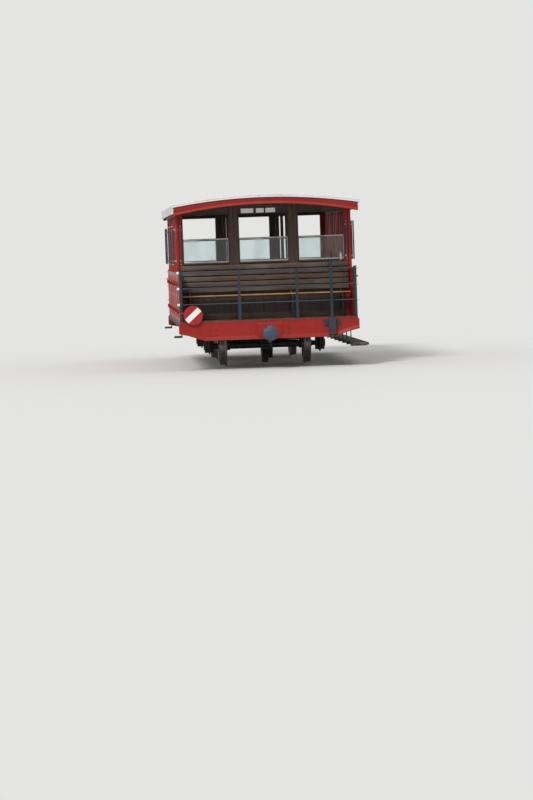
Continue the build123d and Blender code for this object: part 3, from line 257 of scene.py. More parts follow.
def lathe(profile: Array, centre: Vec, axis: Vec = UP, steps: int = 32, ring: bool = False) -> Shape:
    """A profile turned round an axis.

    Formula: point (i, j) is centre + along[i] * axis + radius[i] * (cos(angle j) * u + sin(angle j) * v), with u and
    v square to the axis.

    Args:
        profile: Points (k, 2) as (along, radius). A solid starts and ends on the axis; a ring is a closed loop.
        centre: Point that the axis goes through.
        axis: Direction of the axis.
        steps: Points round the axis.
        ring: Set where the profile is a closed loop.

    Returns:
        The closed surface.
    """
    profile = np.asarray(profile, float)
    w = np.asarray(axis, float) / np.linalg.norm(axis)
    u = np.cross(w, np.eye(3)[int(np.argmin(np.abs(w)))])
    u /= np.linalg.norm(u)
    v = np.cross(w, u)
    body = profile if ring else profile[1:-1]
    angle = np.linspace(0, 2 * math.pi, steps, endpoint=False)
    spin = np.cos(angle)[:, None] * u + np.sin(angle)[:, None] * v
    rows = np.asarray(centre) + body[:, None, :1] * w + body[:, None, 1:] * spin[None]
    quads = grid_quads(len(body), steps, wrap_rows=ring, wrap_columns=True)
    if ring:
        return Shape(rows.reshape(-1, 3), quads, np.zeros((0, 3), int)).outward()
    j = np.arange(steps)
    after, last_row, count = (j + 1) % steps, (len(body) - 1) * steps, len(body) * steps
    poles = np.asarray(centre) + profile[[0, -1], :1] * w
    caps = np.vstack([
        np.stack([after, j, np.full(steps, count)], 1),
        np.stack([j + last_row, after + last_row, np.full(steps, count + 1)], 1),
    ])
    return Shape(np.vstack([rows.reshape(-1, 3), poles]), quads, caps).outward()


class Head(Enum):
    """The kinds of fastener heads, each as its number of sides and its (along, radius) shares."""

    ROUND = (8, ((-0.5, 0.0), (-0.5, 1.0), (0.0, 1.0), (0.55, 0.8), (0.9, 0.42), (1.0, 0.0)))
    HEX = (6, ((-0.5, 0.0), (-0.5, 1.3), (0.12, 1.3), (0.14, 1.0), (0.86, 1.0), (1.0, 0.82), (1.0, 0.0)))
    SCREW = (10, ((-0.5, 0.0), (-0.5, 1.0), (0.3, 1.0), (0.8, 0.7), (1.0, 0.0)))

    def shape(self, radius: float, height: float, axis: Vec) -> Shape:
        """One head on the origin, standing out along axis."""
        steps, shares = self.value
        return lathe(np.array(shares) * (height, radius), (0.0, 0.0, 0.0), axis, steps)


def border(x: Span, y: Span, z: Span, width: float, clear: float, edge: float = 0.004, steps: int = 2) -> Shape:
    """Four rounded bars round a rectangle that faces along X.

    Args:
        x: Back and front of the bars.
        y: Start and end of the rectangle along the coach.
        z: Its lower and upper edge.
        width: Width of the bars.
        clear: How far the uprights keep off the lower and the upper edge.
        edge: Radius of the bars' edges.
        steps: Parts of each quarter round.

    Returns:
        The closed surfaces.
    """
    (back, front), (start, end), (low, high) = x, y, z
    corners = (
        ((start, low), (end, low + width)), ((start, high - width), (end, high)),
        ((start, low + clear), (start + width, high - clear)), ((end - width, low + clear), (end, high - clear)),
    )
    return joined([beam((back, *first), (front, *last), edge, steps) for first, last in corners])


def both_sides(shape: Shape) -> Shape:
    """A surface on the right-hand side and its mirror image on the left."""
    return joined([shape, shape.mirrored(0)])


def arc_moulding(profile: Array, y: float, out: float, half: float, middle: float, end: float) -> Shape:
    """A moulding that follows an arc across an end of the coach.

    Formula: the path is the arc through (0, middle) and (half, end). The profile's across direction points out of the
    end, and its high direction stands square to the arc.

    Args:
        profile: Points (k, 2) as (out of the end, square to the arc).
        y: Place of the path along the coach.
        out: -1 or 1, the way out of this end.
        half: Half length of the arc across the coach.
        middle: Height of the arc at the middle.
        end: Height of the arc at x = half.

    Returns:
        The closed surface.
    """
    rise = middle - end
    radius = (half**2 + rise**2) / (2 * rise)
    angle = np.linspace(-1, 1, ARC_STEPS + 1) * math.asin(half / radius)
    up = np.stack([np.sin(angle), np.zeros_like(angle), np.cos(angle)], 1)
    path = up * radius + np.array([0.0, y, middle - radius])
    return carried(profile, path, (0.0, out, 0.0), up)


# Finishes


class NodeMaker:
    """Adds nodes and links to one node tree."""

    def __init__(self, tree: bpy.types.NodeTree) -> None:
        """Keeps the tree to add to."""
        self.tree = tree

    def add(self, kind: str, inputs: dict | None = None, **settings: object) -> bpy.types.Node:
        """Adds a node.

        Args:
            kind: The node's type.
            inputs: For each input, by name or number, a socket to link from or a value to set.
            settings: Other properties of the node.

        Returns:
            The new node.
        """
        node = self.tree.nodes.new(kind)
        for key, value in settings.items():
            setattr(node, key, value)
        self.give(node, inputs or {})
        return node

    def give(self, node: bpy.types.Node, inputs: dict) -> None:
        """Links each input of a node from the socket given for it, or sets it to the value given."""
        for key, value in inputs.items():
            if isinstance(value, Socket):
                self.tree.links.new(value, node.inputs[key])
            else:
                node.inputs[key].default_value = value

    def math(self, operation: str, a: object, b: object = 0.0, clamp: bool = False) -> Socket:
        """The result of a Math node on two sockets or numbers."""
        return self.add("ShaderNodeMath", {0: a, 1: b}, operation=operation, use_clamp=clamp).outputs[0]

    def times(self, a: object, b: object, clamp: bool = False) -> Socket:
        """The product a * b."""
        return self.math("MULTIPLY", a, b, clamp)

    def plus(self, a: object, b: object, clamp: bool = False) -> Socket:
        """The sum a + b."""
        return self.math("ADD", a, b, clamp)

    def minus(self, a: object, b: object) -> Socket:
        """The difference a - b."""
        return self.math("SUBTRACT", a, b)

    def mix(self, factor: object, a: object, b: object, blend: str = "MIX") -> Socket:
        """The result of a colour Mix node."""
        node = self.add("ShaderNodeMix", {0: factor, 6: a, 7: b}, data_type="RGBA", blend_type=blend)
        return node.outputs[2]

    def span(
        self, value: object, low: float, high: float, to_low: float = 0.0, to_high: float = 1.0
    ) -> Socket:
        """Maps value from low..high to to_low..to_high, clamped."""
        inputs = {0: value, 1: low, 2: high, 3: to_low, 4: to_high}
        return self.add("ShaderNodeMapRange", inputs, clamp=True).outputs[0]

    def noise(self, vector: object, scale: object, detail: float = 3.0, rough: float = 0.55) -> Socket:
        """The value of a noise texture."""
        inputs = {"Vector": vector, "Scale": scale, "Detail": detail, "Roughness": rough}
        return self.add("ShaderNodeTexNoise", inputs).outputs[0]

    def stretched(self, vector: object, scale: Vec) -> Socket:
        """The vector times a scale on each axis."""
        return self.add("ShaderNodeMapping", {"Vector": vector, "Scale": scale}).outputs[0]

    def bump(self, height: object, depth: float, normal: object) -> Socket:
        """The normal that a height gives over another normal."""
        inputs = {"Height": height, "Distance": depth, "Strength": 0.6, "Normal": normal}
        return self.add("ShaderNodeBump", inputs).outputs[0]

    def place(self) -> Socket:
        """The surface's own object coordinates."""
        return self.add("ShaderNodeTexCoord").outputs["Object"]

    def seen(self) -> Socket:
        """1 where the camera, a gloss or a clear pane looks, and 0 for the rays that light the coach."""
        ray = self.add("ShaderNodeLightPath").outputs
        bent = self.math("MAXIMUM", ray["Is Glossy Ray"], ray["Is Transmission Ray"])
        return self.math("MAXIMUM", ray["Is Camera Ray"], bent)


class Kind(Enum):
    """The socket types of the shader groups."""

    COLOR = "NodeSocketColor"
    VALUE = "NodeSocketFloat"
    VECTOR = "NodeSocketVector"


class EffectGroup:
    """A shader node group with named sockets, built once and placed in each material with its own values."""

    name = "Effect"
    inputs: dict[str, tuple[Kind, object]] = {}
    outputs: dict[str, Kind] = {}

    @classmethod
    def tree(cls) -> bpy.types.NodeTree:
        """The group's node tree, built on first use."""
        found = bpy.data.node_groups.get(cls.name)
        if found:
            return found
        tree = bpy.data.node_groups.new(cls.name, "ShaderNodeTree")
        for label, (kind, value) in cls.inputs.items():
            socket = tree.interface.new_socket(label, in_out="INPUT", socket_type=kind.value)
            socket.default_value = value
        for label, kind in cls.outputs.items():
            tree.interface.new_socket(label, in_out="OUTPUT", socket_type=kind.value)
        made = NodeMaker(tree)
        source = made.add("NodeGroupInput").outputs
        made.add("NodeGroupOutput", cls.wire(made, {label: source[label] for label in cls.inputs}))
        return tree

    @classmethod
    def wire(cls, made: NodeMaker, given: dict) -> dict:
        """Wires the inside of the group and returns a socket for each output."""
        raise NotImplementedError

    @classmethod
    def placed(cls, made: NodeMaker, inputs: dict | None = None) -> bpy.types.Node:
        """Places the group in a material with that material's values."""
        return made.add("ShaderNodeGroup", inputs, node_tree=cls.tree())


class SoftEdges(EffectGroup):
    """Rounded edges for flat-sided parts, and a mask of those edges.

    The mask is one minus the dot product of the rounded normal and the true one, broken up by noise.
    """

    name = "soft_edges"
    inputs = {"Radius": (Kind.VALUE, 0.004)}
    outputs = {"Normal": Kind.VECTOR, "Mask": Kind.VALUE}

    @classmethod
    def wire(cls, made: NodeMaker, given: dict) -> dict:
        """Compares the rounded normal with the true one."""
        rounded = made.add("ShaderNodeBevel", {"Radius": given["Radius"]}, samples=4).outputs[0]
        true = made.add("ShaderNodeNewGeometry").outputs["Normal"]
        dot = made.add("ShaderNodeVectorMath", {0: rounded, 1: true}, operation="DOT_PRODUCT").outputs["Value"]
        edge = made.span(dot, 0.995, 0.86)
        broken = made.span(made.noise(made.place(), 34.0, 4.0), 0.42, 0.62)
        return {"Normal": rounded, "Mask": made.times(edge, broken, clamp=True)}


class WeatheredCoat(EffectGroup):
    """A coat of paint that has faded in patches, with rain streaks, dust towards the bottom and a fine texture.

    Fade follows a wide noise, streaks a noise stretched along Z, and dust the height over the rails.
    """

    name = "weathered_coat"
    inputs = {
        "Color": (Kind.COLOR, (0.5, 0.5, 0.5, 1.0)),
        "Faded": (Kind.COLOR, (0.6, 0.6, 0.6, 1.0)),
        "Dust": (Kind.COLOR, (0.2, 0.17, 0.14, 1.0)),
        "Edge Color": (Kind.COLOR, (0.3, 0.3, 0.3, 1.0)),
        "Fade": (Kind.VALUE, 0.3),
        "Streaks": (Kind.VALUE, 0.2),
        "Dust Amount": (Kind.VALUE, 0.4),
        "Dust Top": (Kind.VALUE, 1.2),
        "Gloss": (Kind.VALUE, 0.3),
        "Edge": (Kind.VALUE, 0.0),
    }
    outputs = {"Color": Kind.COLOR, "Roughness": Kind.VALUE, "Height": Kind.VALUE}

    @classmethod
    def wire(cls, made: NodeMaker, given: dict) -> dict:
        """Layers fade, streaks, dust and worn edges on the paint."""
        place = made.place()
        wide = made.span(made.noise(place, 2.3, 4.0), 0.35, 0.68)
        fine = made.noise(place, 85.0, 3.0, 0.6)
        streak = made.span(made.noise(made.stretched(place, (22.0, 22.0, 1.1)), 1.0, 4.0), 0.5, 0.74)
        height = made.add("ShaderNodeSeparateXYZ", {0: place}).outputs["Z"]
        drop = made.minus(given["Dust Top"], height)
        low = made.times(made.span(drop, -0.1, 0.8), made.span(made.noise(place, 7.0, 5.0), 0.3, 0.62))
        color = made.mix(made.times(wide, given["Fade"]), given["Color"], given["Faded"])
        color = made.mix(made.times(fine, 0.16), color, made.mix(1.0, color, given["Color"], "MULTIPLY"))
        dirt = made.times(low, given["Dust Amount"])
        dirt = made.plus(dirt, made.times(streak, given["Streaks"]), clamp=True)
        color = made.mix(dirt, color, given["Dust"])
        color = made.mix(given["Edge"], color, given["Edge Color"])
        rough = made.plus(given["Gloss"], made.times(dirt, 0.4))
        rough = made.plus(rough, made.times(wide, 0.14), clamp=True)
        peel = made.plus(made.times(fine, 0.35), made.noise(place, 16.0, 2.0))
        return {"Color": color, "Roughness": rough, "Height": peel}


class BoardGrain(EffectGroup):
    """Boards of varnished or worn wood whose grain runs along the X of the vector given.

    The grain is a noise stretched along X, laid over bands from a wave bent by a wide noise. Each board, Width wide
    along Y, has its own shade, and a dark seam lies between two boards.
    """

    name = "board_grain"
    inputs = {
        "Vector": (Kind.VECTOR, (0.0, 0.0, 0.0)),
        "Light": (Kind.COLOR, (0.5, 0.3, 0.15, 1.0)),
        "Dark": (Kind.COLOR, (0.2, 0.1, 0.05, 1.0)),
        "Seam Color": (Kind.COLOR, (0.02, 0.015, 0.01, 1.0)),
        "Width": (Kind.VALUE, 0.12),
        "Seam": (Kind.VALUE, 1.0),
        "Wear": (Kind.VALUE, 0.2),
        "Gloss": (Kind.VALUE, 0.4),
    }
    outputs = {"Color": Kind.COLOR, "Roughness": Kind.VALUE, "Height": Kind.VALUE}

    @classmethod
    def wire(cls, made: NodeMaker, given: dict) -> dict:
        """Builds the boards, their grain and their seams."""
        parts = made.add("ShaderNodeSeparateXYZ", {0: given["Vector"]}).outputs
        row = made.math("DIVIDE", parts["Y"], given["Width"])
        board = made.math("FLOOR", row)
        inside = made.math("ABSOLUTE", made.minus(made.math("FRACT", row), 0.5))
        seam = made.times(made.span(inside, 0.478, 0.494), given["Seam"])
        shade = made.add("ShaderNodeTexWhiteNoise", {"W": board}, noise_dimensions="1D").outputs["Value"]
        slid = made.add("ShaderNodeCombineXYZ", {0: made.times(shade, 9.0), 2: shade}).outputs[0]
        vector = made.add("ShaderNodeVectorMath", {0: given["Vector"], 1: slid}, operation="ADD").outputs[0]
        fibre = made.noise(made.stretched(vector, (5.0, 120.0, 120.0)), 1.0, 6.0, 0.62)
        bent = made.noise(made.stretched(vector, (0.9, 5.0, 5.0)), 1.0, 2.0)
        rings = made.math("SINE", made.times(bent, 52.0))
        grain = made.plus(made.times(fibre, 0.75), made.span(rings, -1.0, 1.0, 0.0, 0.38))
        tone = made.plus(grain, made.times(made.minus(shade, 0.5), 0.34))
        color = made.mix(made.span(tone, 0.2, 0.95), given["Dark"], given["Light"])
        worn = made.span(made.noise(made.stretched(vector, (1.4, 3.5, 3.5)), 1.0, 5.0), 0.46, 0.7)
        worn = made.times(worn, given["Wear"])
        color = made.mix(worn, color, made.mix(0.55, given["Light"], (0.42, 0.38, 0.33, 1.0)))
        color = made.mix(seam, color, given["Seam Color"])
        rough = made.plus(given["Gloss"], made.times(worn, 0.5))
        rough = made.plus(rough, made.times(fibre, 0.16), clamp=True)
        rise = made.minus(made.times(fibre, 0.3), made.times(seam, 2.0))
        return {"Color": color, "Roughness": rough, "Height": rise}


class BareSteel(EffectGroup):
    """Worn steel: blotches of rust and oil over bare metal, with fine scratches.

    Rust follows a noise with many octaves, and the scratches are a noise stretched along one axis.
    """

    name = "bare_steel"
    inputs = {
        "Color": (Kind.COLOR, (0.3, 0.3, 0.32, 1.0)),
        "Rust Color": (Kind.COLOR, (0.12, 0.05, 0.025, 1.0)),
        "Rust": (Kind.VALUE, 0.3),
        "Scale": (Kind.VALUE, 9.0),
        "Shine": (Kind.VALUE, 0.9),
        "Gloss": (Kind.VALUE, 0.35),
        "Edge": (Kind.VALUE, 0.0),
    }
    outputs = {"Color": Kind.COLOR, "Roughness": Kind.VALUE, "Metallic": Kind.VALUE, "Height": Kind.VALUE}

    @classmethod
    def wire(cls, made: NodeMaker, given: dict) -> dict:
        """Lays rust and scratches on the metal."""
        place = made.place()
        blotch = made.noise(place, given["Scale"], 7.0, 0.62)
        edge_of_rust = made.minus(0.72, made.times(given["Rust"], 0.36))
        rust = made.span(made.minus(blotch, edge_of_rust), -0.05, 0.07)
        rust = made.times(rust, made.minus(1.0, given["Edge"]), clamp=True)
        scratch = made.noise(made.stretched(place, (9.0, 9.0, 160.0)), 1.0, 4.0)
        fine = made.noise(place, 130.0, 3.0)
        scored = made.mix(0.5, given["Color"], (0.0, 0.0, 0.0, 1.0))
        color = made.mix(made.span(scratch, 0.3, 0.7, 0.0, 0.35), given["Color"], scored)
        color = made.mix(rust, color, given["Rust Color"])
        shine = made.times(given["Shine"], made.minus(1.0, rust))
        rough = made.plus(given["Gloss"], made.times(rust, 0.42))
        rough = made.plus(rough, made.times(scratch, 0.14), clamp=True)
        rise = made.plus(made.times(fine, 0.3), made.times(rust, 0.4))
        return {"Color": color, "Roughness": rough, "Metallic": shine, "Height": rise}


def rgba(color: Rgb) -> tuple[float, float, float, float]:
    """A colour with full alpha."""
    return (*color, 1.0)


@dataclass(frozen=True)
class Finish:
    """The base of all finishes: a named material, built once."""

    name: str

    def material(self) -> bpy.types.Material:
        """The finish's material, built on first use."""
        found = bpy.data.materials.get(self.name)
        if found:
            return found
        material = bpy.data.materials.new(self.name)
        material.use_nodes = True
        material.node_tree.nodes.clear()
        made = NodeMaker(material.node_tree)
        shader = made.add("ShaderNodeBsdfPrincipled")
        made.add("ShaderNodeOutputMaterial", {"Surface": shader.outputs[0]})
        made.give(shader, self.inputs(made))
        return material

    def inputs(self, made: NodeMaker) -> dict:
        """What each of the shader's inputs is linked from or set to."""
        raise NotImplementedError


@dataclass(frozen=True)
class Paint(Finish):
    """Oil paint on wood or steel, weathered."""

    color: Rgb
    faded: Rgb
    edge_color: Rgb
    dust: Rgb = (0.16, 0.13, 0.11)
    fade: float = 0.4
    streaks: float = 0.12
    dust_amount: float = 0.35
    dust_top: float = 1.0
    gloss: float = 0.3
    edges: float = 0.5
    coat: float = 0.1
    coat_gloss: float = 0.22
    mirror: float = 0.3
    relief: float = 0.0007

    def inputs(self, made: NodeMaker) -> dict:
        """Weathered paint over softened edges."""
        soft = SoftEdges.placed(made).outputs
        coat = WeatheredCoat.placed(made, {
            "Color": rgba(self.color), "Faded": rgba(self.faded), "Dust": rgba(self.dust),
            "Edge Color": rgba(self.edge_color), "Fade": self.fade, "Streaks": self.streaks,
            "Dust Amount": self.dust_amount, "Dust Top": self.dust_top, "Gloss": self.gloss,
            "Edge": made.times(soft["Mask"], self.edges),
        }).outputs
        return {
            "Base Color": coat["Color"], "Roughness": coat["Roughness"], "Specular IOR Level": self.mirror,
            "Coat Weight": self.coat, "Coat Roughness": self.coat_gloss,
            "Normal": made.bump(coat["Height"], self.relief, soft["Normal"]),
        }


class Along(Enum):
    """Which way boards run: the turn that brings the board's length to X and its width to Y, in degrees."""

    X = (0.0, 0.0, 0.0)
    X_UPRIGHT = (90.0, 0.0, 0.0)
    Y = (0.0, 0.0, 90.0)
    Z = (0.0, 90.0, 0.0)


@dataclass(frozen=True)
class Wood(Finish):
    """Varnished or worn boards."""

    light: Rgb
    dark: Rgb
    seam_color: Rgb = (0.02, 0.015, 0.01)
    bared: Rgb = (0.4, 0.34, 0.28)
    width: float = 0.12
    seam: float = 0.0
    wear: float = 0.1
    gloss: float = 0.34
    coat: float = 0.12
    coat_gloss: float = 0.25
    mirror: float = 0.35
    relief: float = 0.0012
    along: Along = Along.X

    def inputs(self, made: NodeMaker) -> dict:
        """Board grain turned to run along the piece, over softened edges."""
        turn = tuple(math.radians(a) for a in self.along.value)
        vector = made.add("ShaderNodeMapping", {"Vector": made.place(), "Rotation": turn}).outputs[0]
        soft = SoftEdges.placed(made).outputs
        grain = BoardGrain.placed(made, {
            "Vector": vector, "Light": rgba(self.light), "Dark": rgba(self.dark),
            "Seam Color": rgba(self.seam_color), "Width": self.width, "Seam": self.seam,
            "Wear": self.wear, "Gloss": self.gloss,
        }).outputs
        worn = made.mix(0.5, rgba(self.light), rgba(self.bared))
        edge = made.times(soft["Mask"], 0.25 + self.wear * 0.5)
        return {
            "Base Color": made.mix(edge, grain["Color"], worn), "Roughness": grain["Roughness"],
            "Specular IOR Level": self.mirror, "Coat Weight": self.coat, "Coat Roughness": self.coat_gloss,
            "Normal": made.bump(grain["Height"], self.relief, soft["Normal"]),
        }


@dataclass(frozen=True)
class Metal(Finish):
    """Bare, oiled or rusting metal."""

    color: Rgb
    rust_color: Rgb = (0.11, 0.048, 0.026)
    rubbed: Rgb = (0.55, 0.55, 0.56)
    rust: float = 0.3
    scale: float = 9.0
    shine: float = 0.85
    gloss: float = 0.35
    relief: float = 0.0009

    def inputs(self, made: NodeMaker) -> dict:
        """Worn metal over softened edges."""
        soft = SoftEdges.placed(made).outputs
        steel = BareSteel.placed(made, {
            "Color": rgba(self.color), "Rust Color": rgba(self.rust_color), "Rust": self.rust,
            "Scale": self.scale, "Shine": self.shine, "Gloss": self.gloss, "Edge": soft["Mask"],
        }).outputs
        bright = made.mix(0.35, rgba(self.color), rgba(self.rubbed))
        return {
            "Base Color": made.mix(made.times(soft["Mask"], 0.45), steel["Color"], bright),
            "Roughness": steel["Roughness"], "Metallic": steel["Metallic"],
            "Normal": made.bump(steel["Height"], self.relief, soft["Normal"]),
        }


@dataclass(frozen=True)
class Glass(Finish):
    """A window pane with a film of dust that makes it a little rough in patches."""

    tint: Rgb = (0.86, 0.92, 0.93)
    smear: float = 0.1
    refraction: float = 1.45

    def inputs(self, made: NodeMaker) -> dict:
        """Clear glass whose roughness and tint vary with the smears on it."""
        smear = made.span(made.noise(made.stretched(made.place(), (3.0, 3.0, 1.6)), 1.0, 5.0), 0.42, 0.75)
        return {
            "Base Color": made.mix(smear, rgba(self.tint), rgba(tuple(0.88 * c for c in self.tint))),
            "Roughness": made.times(smear, self.smear), "Transmission Weight": 1.0, "IOR": self.refraction,
        }


class Coat(Enum):
    """All finishes of the coach."""

    RED = Paint(
        "red_paint", (0.29, 0.0125, 0.009), (0.35, 0.021, 0.014), (0.16, 0.03, 0.02),
        fade=0.35, streaks=0.06, dust_amount=0.12, dust_top=0.7, gloss=0.34, coat=0.06, mirror=0.22)
    RED_DEEP = Paint(
        "deep_red_paint", (0.235, 0.011, 0.011), (0.28, 0.019, 0.017), (0.1, 0.02, 0.02),
        dust_amount=0.2, dust_top=0.4)
    # Lighter red of the fascia and headstock lips: a painted highlight where their rounded edges catch the light.
    RED_PAINTED_HIGHLIGHT = Paint(
        "red_lip_painted_highlight", (0.33, 0.024, 0.013), (0.38, 0.04, 0.02), (0.2, 0.04, 0.02),
        fade=0.5, dust_amount=0.15, dust_top=0.4)
    RED_SIGNAL = Paint(
        "signal_red_paint", (0.34, 0.011, 0.011), (0.39, 0.02, 0.018), (0.3, 0.1, 0.09),
        streaks=0.05, dust_amount=0.1)
    WHITE = Paint(
        "signal_white", (0.8, 0.79, 0.77), (0.7, 0.69, 0.66), (0.4, 0.36, 0.33), streaks=0.1, dust_amount=0.2)
    ENAMEL = Paint(
        "white_enamel", (0.9, 0.91, 0.93), (0.84, 0.85, 0.87), (0.3, 0.28, 0.27),
        streaks=0.08, dust_amount=0.05, gloss=0.2, mirror=0.5)
    PALE = Paint(
        "pale_trim", (0.7, 0.67, 0.68), (0.55, 0.51, 0.53), (0.25, 0.2, 0.19),
        fade=0.7, streaks=0.3, dust_top=0.2, gloss=0.5, coat=0.0)
    ROOF = Paint(
        "roof_canvas", (0.3, 0.31, 0.32), (0.42, 0.42, 0.42), (0.2, 0.2, 0.2),
        fade=0.8, streaks=0.2, dust_top=0.2, gloss=0.62, coat=0.0)
    BLUE_BLACK = Paint(
        "blue_black_paint", (0.016, 0.024, 0.034), (0.03, 0.042, 0.055), (0.16, 0.15, 0.14),
        (0.1, 0.085, 0.07), fade=0.6, gloss=0.32)
    BLACK = Paint(
        "underframe_black", (0.012, 0.012, 0.014), (0.026, 0.025, 0.026), (0.07, 0.055, 0.045),
        (0.075, 0.06, 0.048), fade=0.5, streaks=0.1, dust_amount=0.5, dust_top=0.9, gloss=0.45, coat=0.0)
    TARRED = Wood(
        "tarred_board", (0.05, 0.044, 0.038), (0.016, 0.014, 0.013),
        wear=0.45, gloss=0.6, coat=0.0, along=Along.Y)
    TIMBER = Wood(
        "underframe_timber", (0.045, 0.036, 0.03), (0.014, 0.012, 0.011), wear=0.25, gloss=0.6, coat=0.0)
    OAK_ACROSS = Wood(
        "dark_varnish_across", (0.062, 0.029, 0.019), (0.02, 0.01, 0.007),
        along=Along.X_UPRIGHT, width=0.115, seam=1.0)
    OAK_UPRIGHT = Wood(
        "dark_varnish_upright", (0.066, 0.03, 0.02), (0.022, 0.01, 0.007), along=Along.Z, width=0.09)
    # Dark varnish on the boarded walls, darkened further as painted shade under the seats.
    OAK_BOARDED_SHADED = Wood(
        "boarded_varnish_painted_shade", (0.058, 0.028, 0.018), (0.02, 0.01, 0.007),
        wear=0.12, gloss=0.36, coat=0.1, along=Along.Z, width=0.095, seam=1.0)
    OAK_ALONG = Wood("dark_varnish_along", (0.062, 0.029, 0.019), (0.02, 0.01, 0.007), along=Along.Y)
    SEAT = Wood(
        "seat_varnish", (0.52, 0.3, 0.11), (0.28, 0.13, 0.04), wear=0.22, gloss=0.25, coat=0.4, width=0.2)
    # Dark varnish on the bench backs, darkened further as painted shade.
    BACK_SHADED = Wood(
        "back_varnish_painted_shade", (0.085, 0.05, 0.034), (0.034, 0.02, 0.014),
        wear=0.25, gloss=0.38, along=Along.X_UPRIGHT, width=0.3)
    CEILING = Wood(
        "ceiling_boards", (0.4, 0.27, 0.15), (0.24, 0.14, 0.07),
        wear=0.05, gloss=0.35, coat=0.25, along=Along.Y)
    FLOOR = Wood(
        "floor_boards", (0.16, 0.115, 0.08), (0.06, 0.042, 0.03),
        wear=0.5, gloss=0.6, coat=0.0, along=Along.Y, width=0.13, seam=1.0)
    ROD = Metal("railing_steel", (0.045, 0.062, 0.085), rust=0.08, scale=22.0, shine=0.35, gloss=0.34)
    BUFFER = Metal(
        "blued_steel", (0.06, 0.082, 0.12), (0.05, 0.042, 0.045), rust=0.4, scale=14.0, shine=0.45, gloss=0.36)
    RIM = Metal(
        "running_steel", (0.2, 0.19, 0.18), (0.075, 0.045, 0.03), rust=0.3, scale=18.0, shine=0.8, gloss=0.3)
    CAST = Metal(
        "dusty_casting", (0.045, 0.042, 0.04), (0.09, 0.055, 0.036), rust=0.6, scale=9.0, shine=0.35, gloss=0.5)
    OILED = Metal(
        "oiled_steel", (0.035, 0.033, 0.032), (0.055, 0.037, 0.027), rust=0.45, scale=12.0, shine=0.6, gloss=0.36)
    BRASS = Metal("worn_brass", (0.7, 0.52, 0.28), (0.36, 0.25, 0.12), rust=0.2, scale=26.0, gloss=0.26)
    SASH = Metal("sash_metal", (0.42, 0.4, 0.37), (0.2, 0.17, 0.13), rust=0.25, scale=20.0, gloss=0.3)
    PANE = Glass("window_glass")

    def material(self) -> bpy.types.Material:
        """The material of this finish."""
        return self.value.material()


def put(name: str, data: bpy.types.ID) -> bpy.types.Object:
    """A new object in the scene that holds a mesh, a lamp or a camera."""
    thing = bpy.data.objects.new(name, data)
    bpy.context.scene.collection.objects.link(thing)
    return thing


def show(
    name: str, shape: Shape, coat: Coat, body: str = "coach", instead_of: tuple[str, ...] = ()
) -> None:
    """Puts a surface into the scene as a named piece.

    Args:
        name: The piece's name.
        shape: Its surface.
        coat: Its finish.
        body: The body that it moves with.
        instead_of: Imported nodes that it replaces.
    """
    mesh = bpy.data.meshes.new(name)
    mesh.from_pydata(shape.points, [], [*shape.quads.tolist(), *shape.tris.tolist()])
    mesh.shade_smooth()
    mesh.set_sharp_from_angle(angle=math.radians(SHARP_ANGLE))
    mesh.materials.append(coat.material())
    piece = put(name, mesh)
    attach(piece, body)
    if instead_of:
        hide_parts(*instead_of)
    LOG.info("%s: %d faces on %s", name, len(mesh.polygons), body)


# Ends of the coach


@dataclass
class FasciaMouldings:
    """The rounded lip along each fascia's lower edge in a lighter red, which is a painted highlight, a bead above it
    and a rolled edge on the pale trim.
    """

    face: float = 3.68
    low_middle: float = 2.847
    low_end: float = 2.683
    half: float = 1.586
    lip_height: float = 0.046
    lip_out: float = 0.016
    lip_sink: float = 0.004
    bead_rise: float = 0.07
    bead_radius: float = 0.005
    trim_face: float = 3.702
    trim_half: float = 1.622
    trim_radius: float = 0.007
    trim_rises: Sizes = (-0.035, -0.001)

    def lip(self, out: float) -> Shape:
        """The lip: half an ellipse carried along the fascia's lower arc.

        Formula: across = lip_out * sin t + 1 mm and high = lip_height * (1 - cos t) / 2 - lip_sink, for t from 0 to
        a half turn.
        """
        t = np.linspace(0, math.pi, 13)
        sink = self.lip_sink
        curve = np.stack([self.lip_out * np.sin(t) + 0.001, self.lip_height * (1 - np.cos(t)) / 2 - sink], 1)
        profile = np.vstack([curve, [[-sink, self.lip_height - sink], [-sink, -sink]]])
        return arc_moulding(profile, out * self.face, out, self.half, self.low_middle, self.low_end)

    def circle(self, radius: float, rise: float) -> Array:
        """A round bead's profile, half sunk in the board."""
        t = np.linspace(0, 2 * math.pi, 10, endpoint=False)
        return radius * np.stack([np.cos(t), np.sin(t)], 1) + np.array([0.0, rise])

    def build(self) -> None:
        """Shows the mouldings of both ends."""
        for end, out in ENDS.items():
            # The lip's lighter red is a painted highlight along the fascia's lower edge.
            show(f"fascia_lip_{end}", self.lip(out), Coat.RED_PAINTED_HIGHLIGHT)
            bead = self.circle(self.bead_radius, self.bead_rise)
            line = arc_moulding(bead, out * self.face, out, self.half - 0.002, self.low_middle, self.low_end)
            show(f"fascia_bead_{end}", line, Coat.RED)
            rolls = [
                arc_moulding(roll, out * self.trim_face, out, self.trim_half, COACH.crown, COACH.eave)
                for roll in (self.circle(self.trim_radius, rise) for rise in self.trim_rises)
            ]
            show(f"edging_rolls_{end}", joined(rolls), Coat.WHITE)


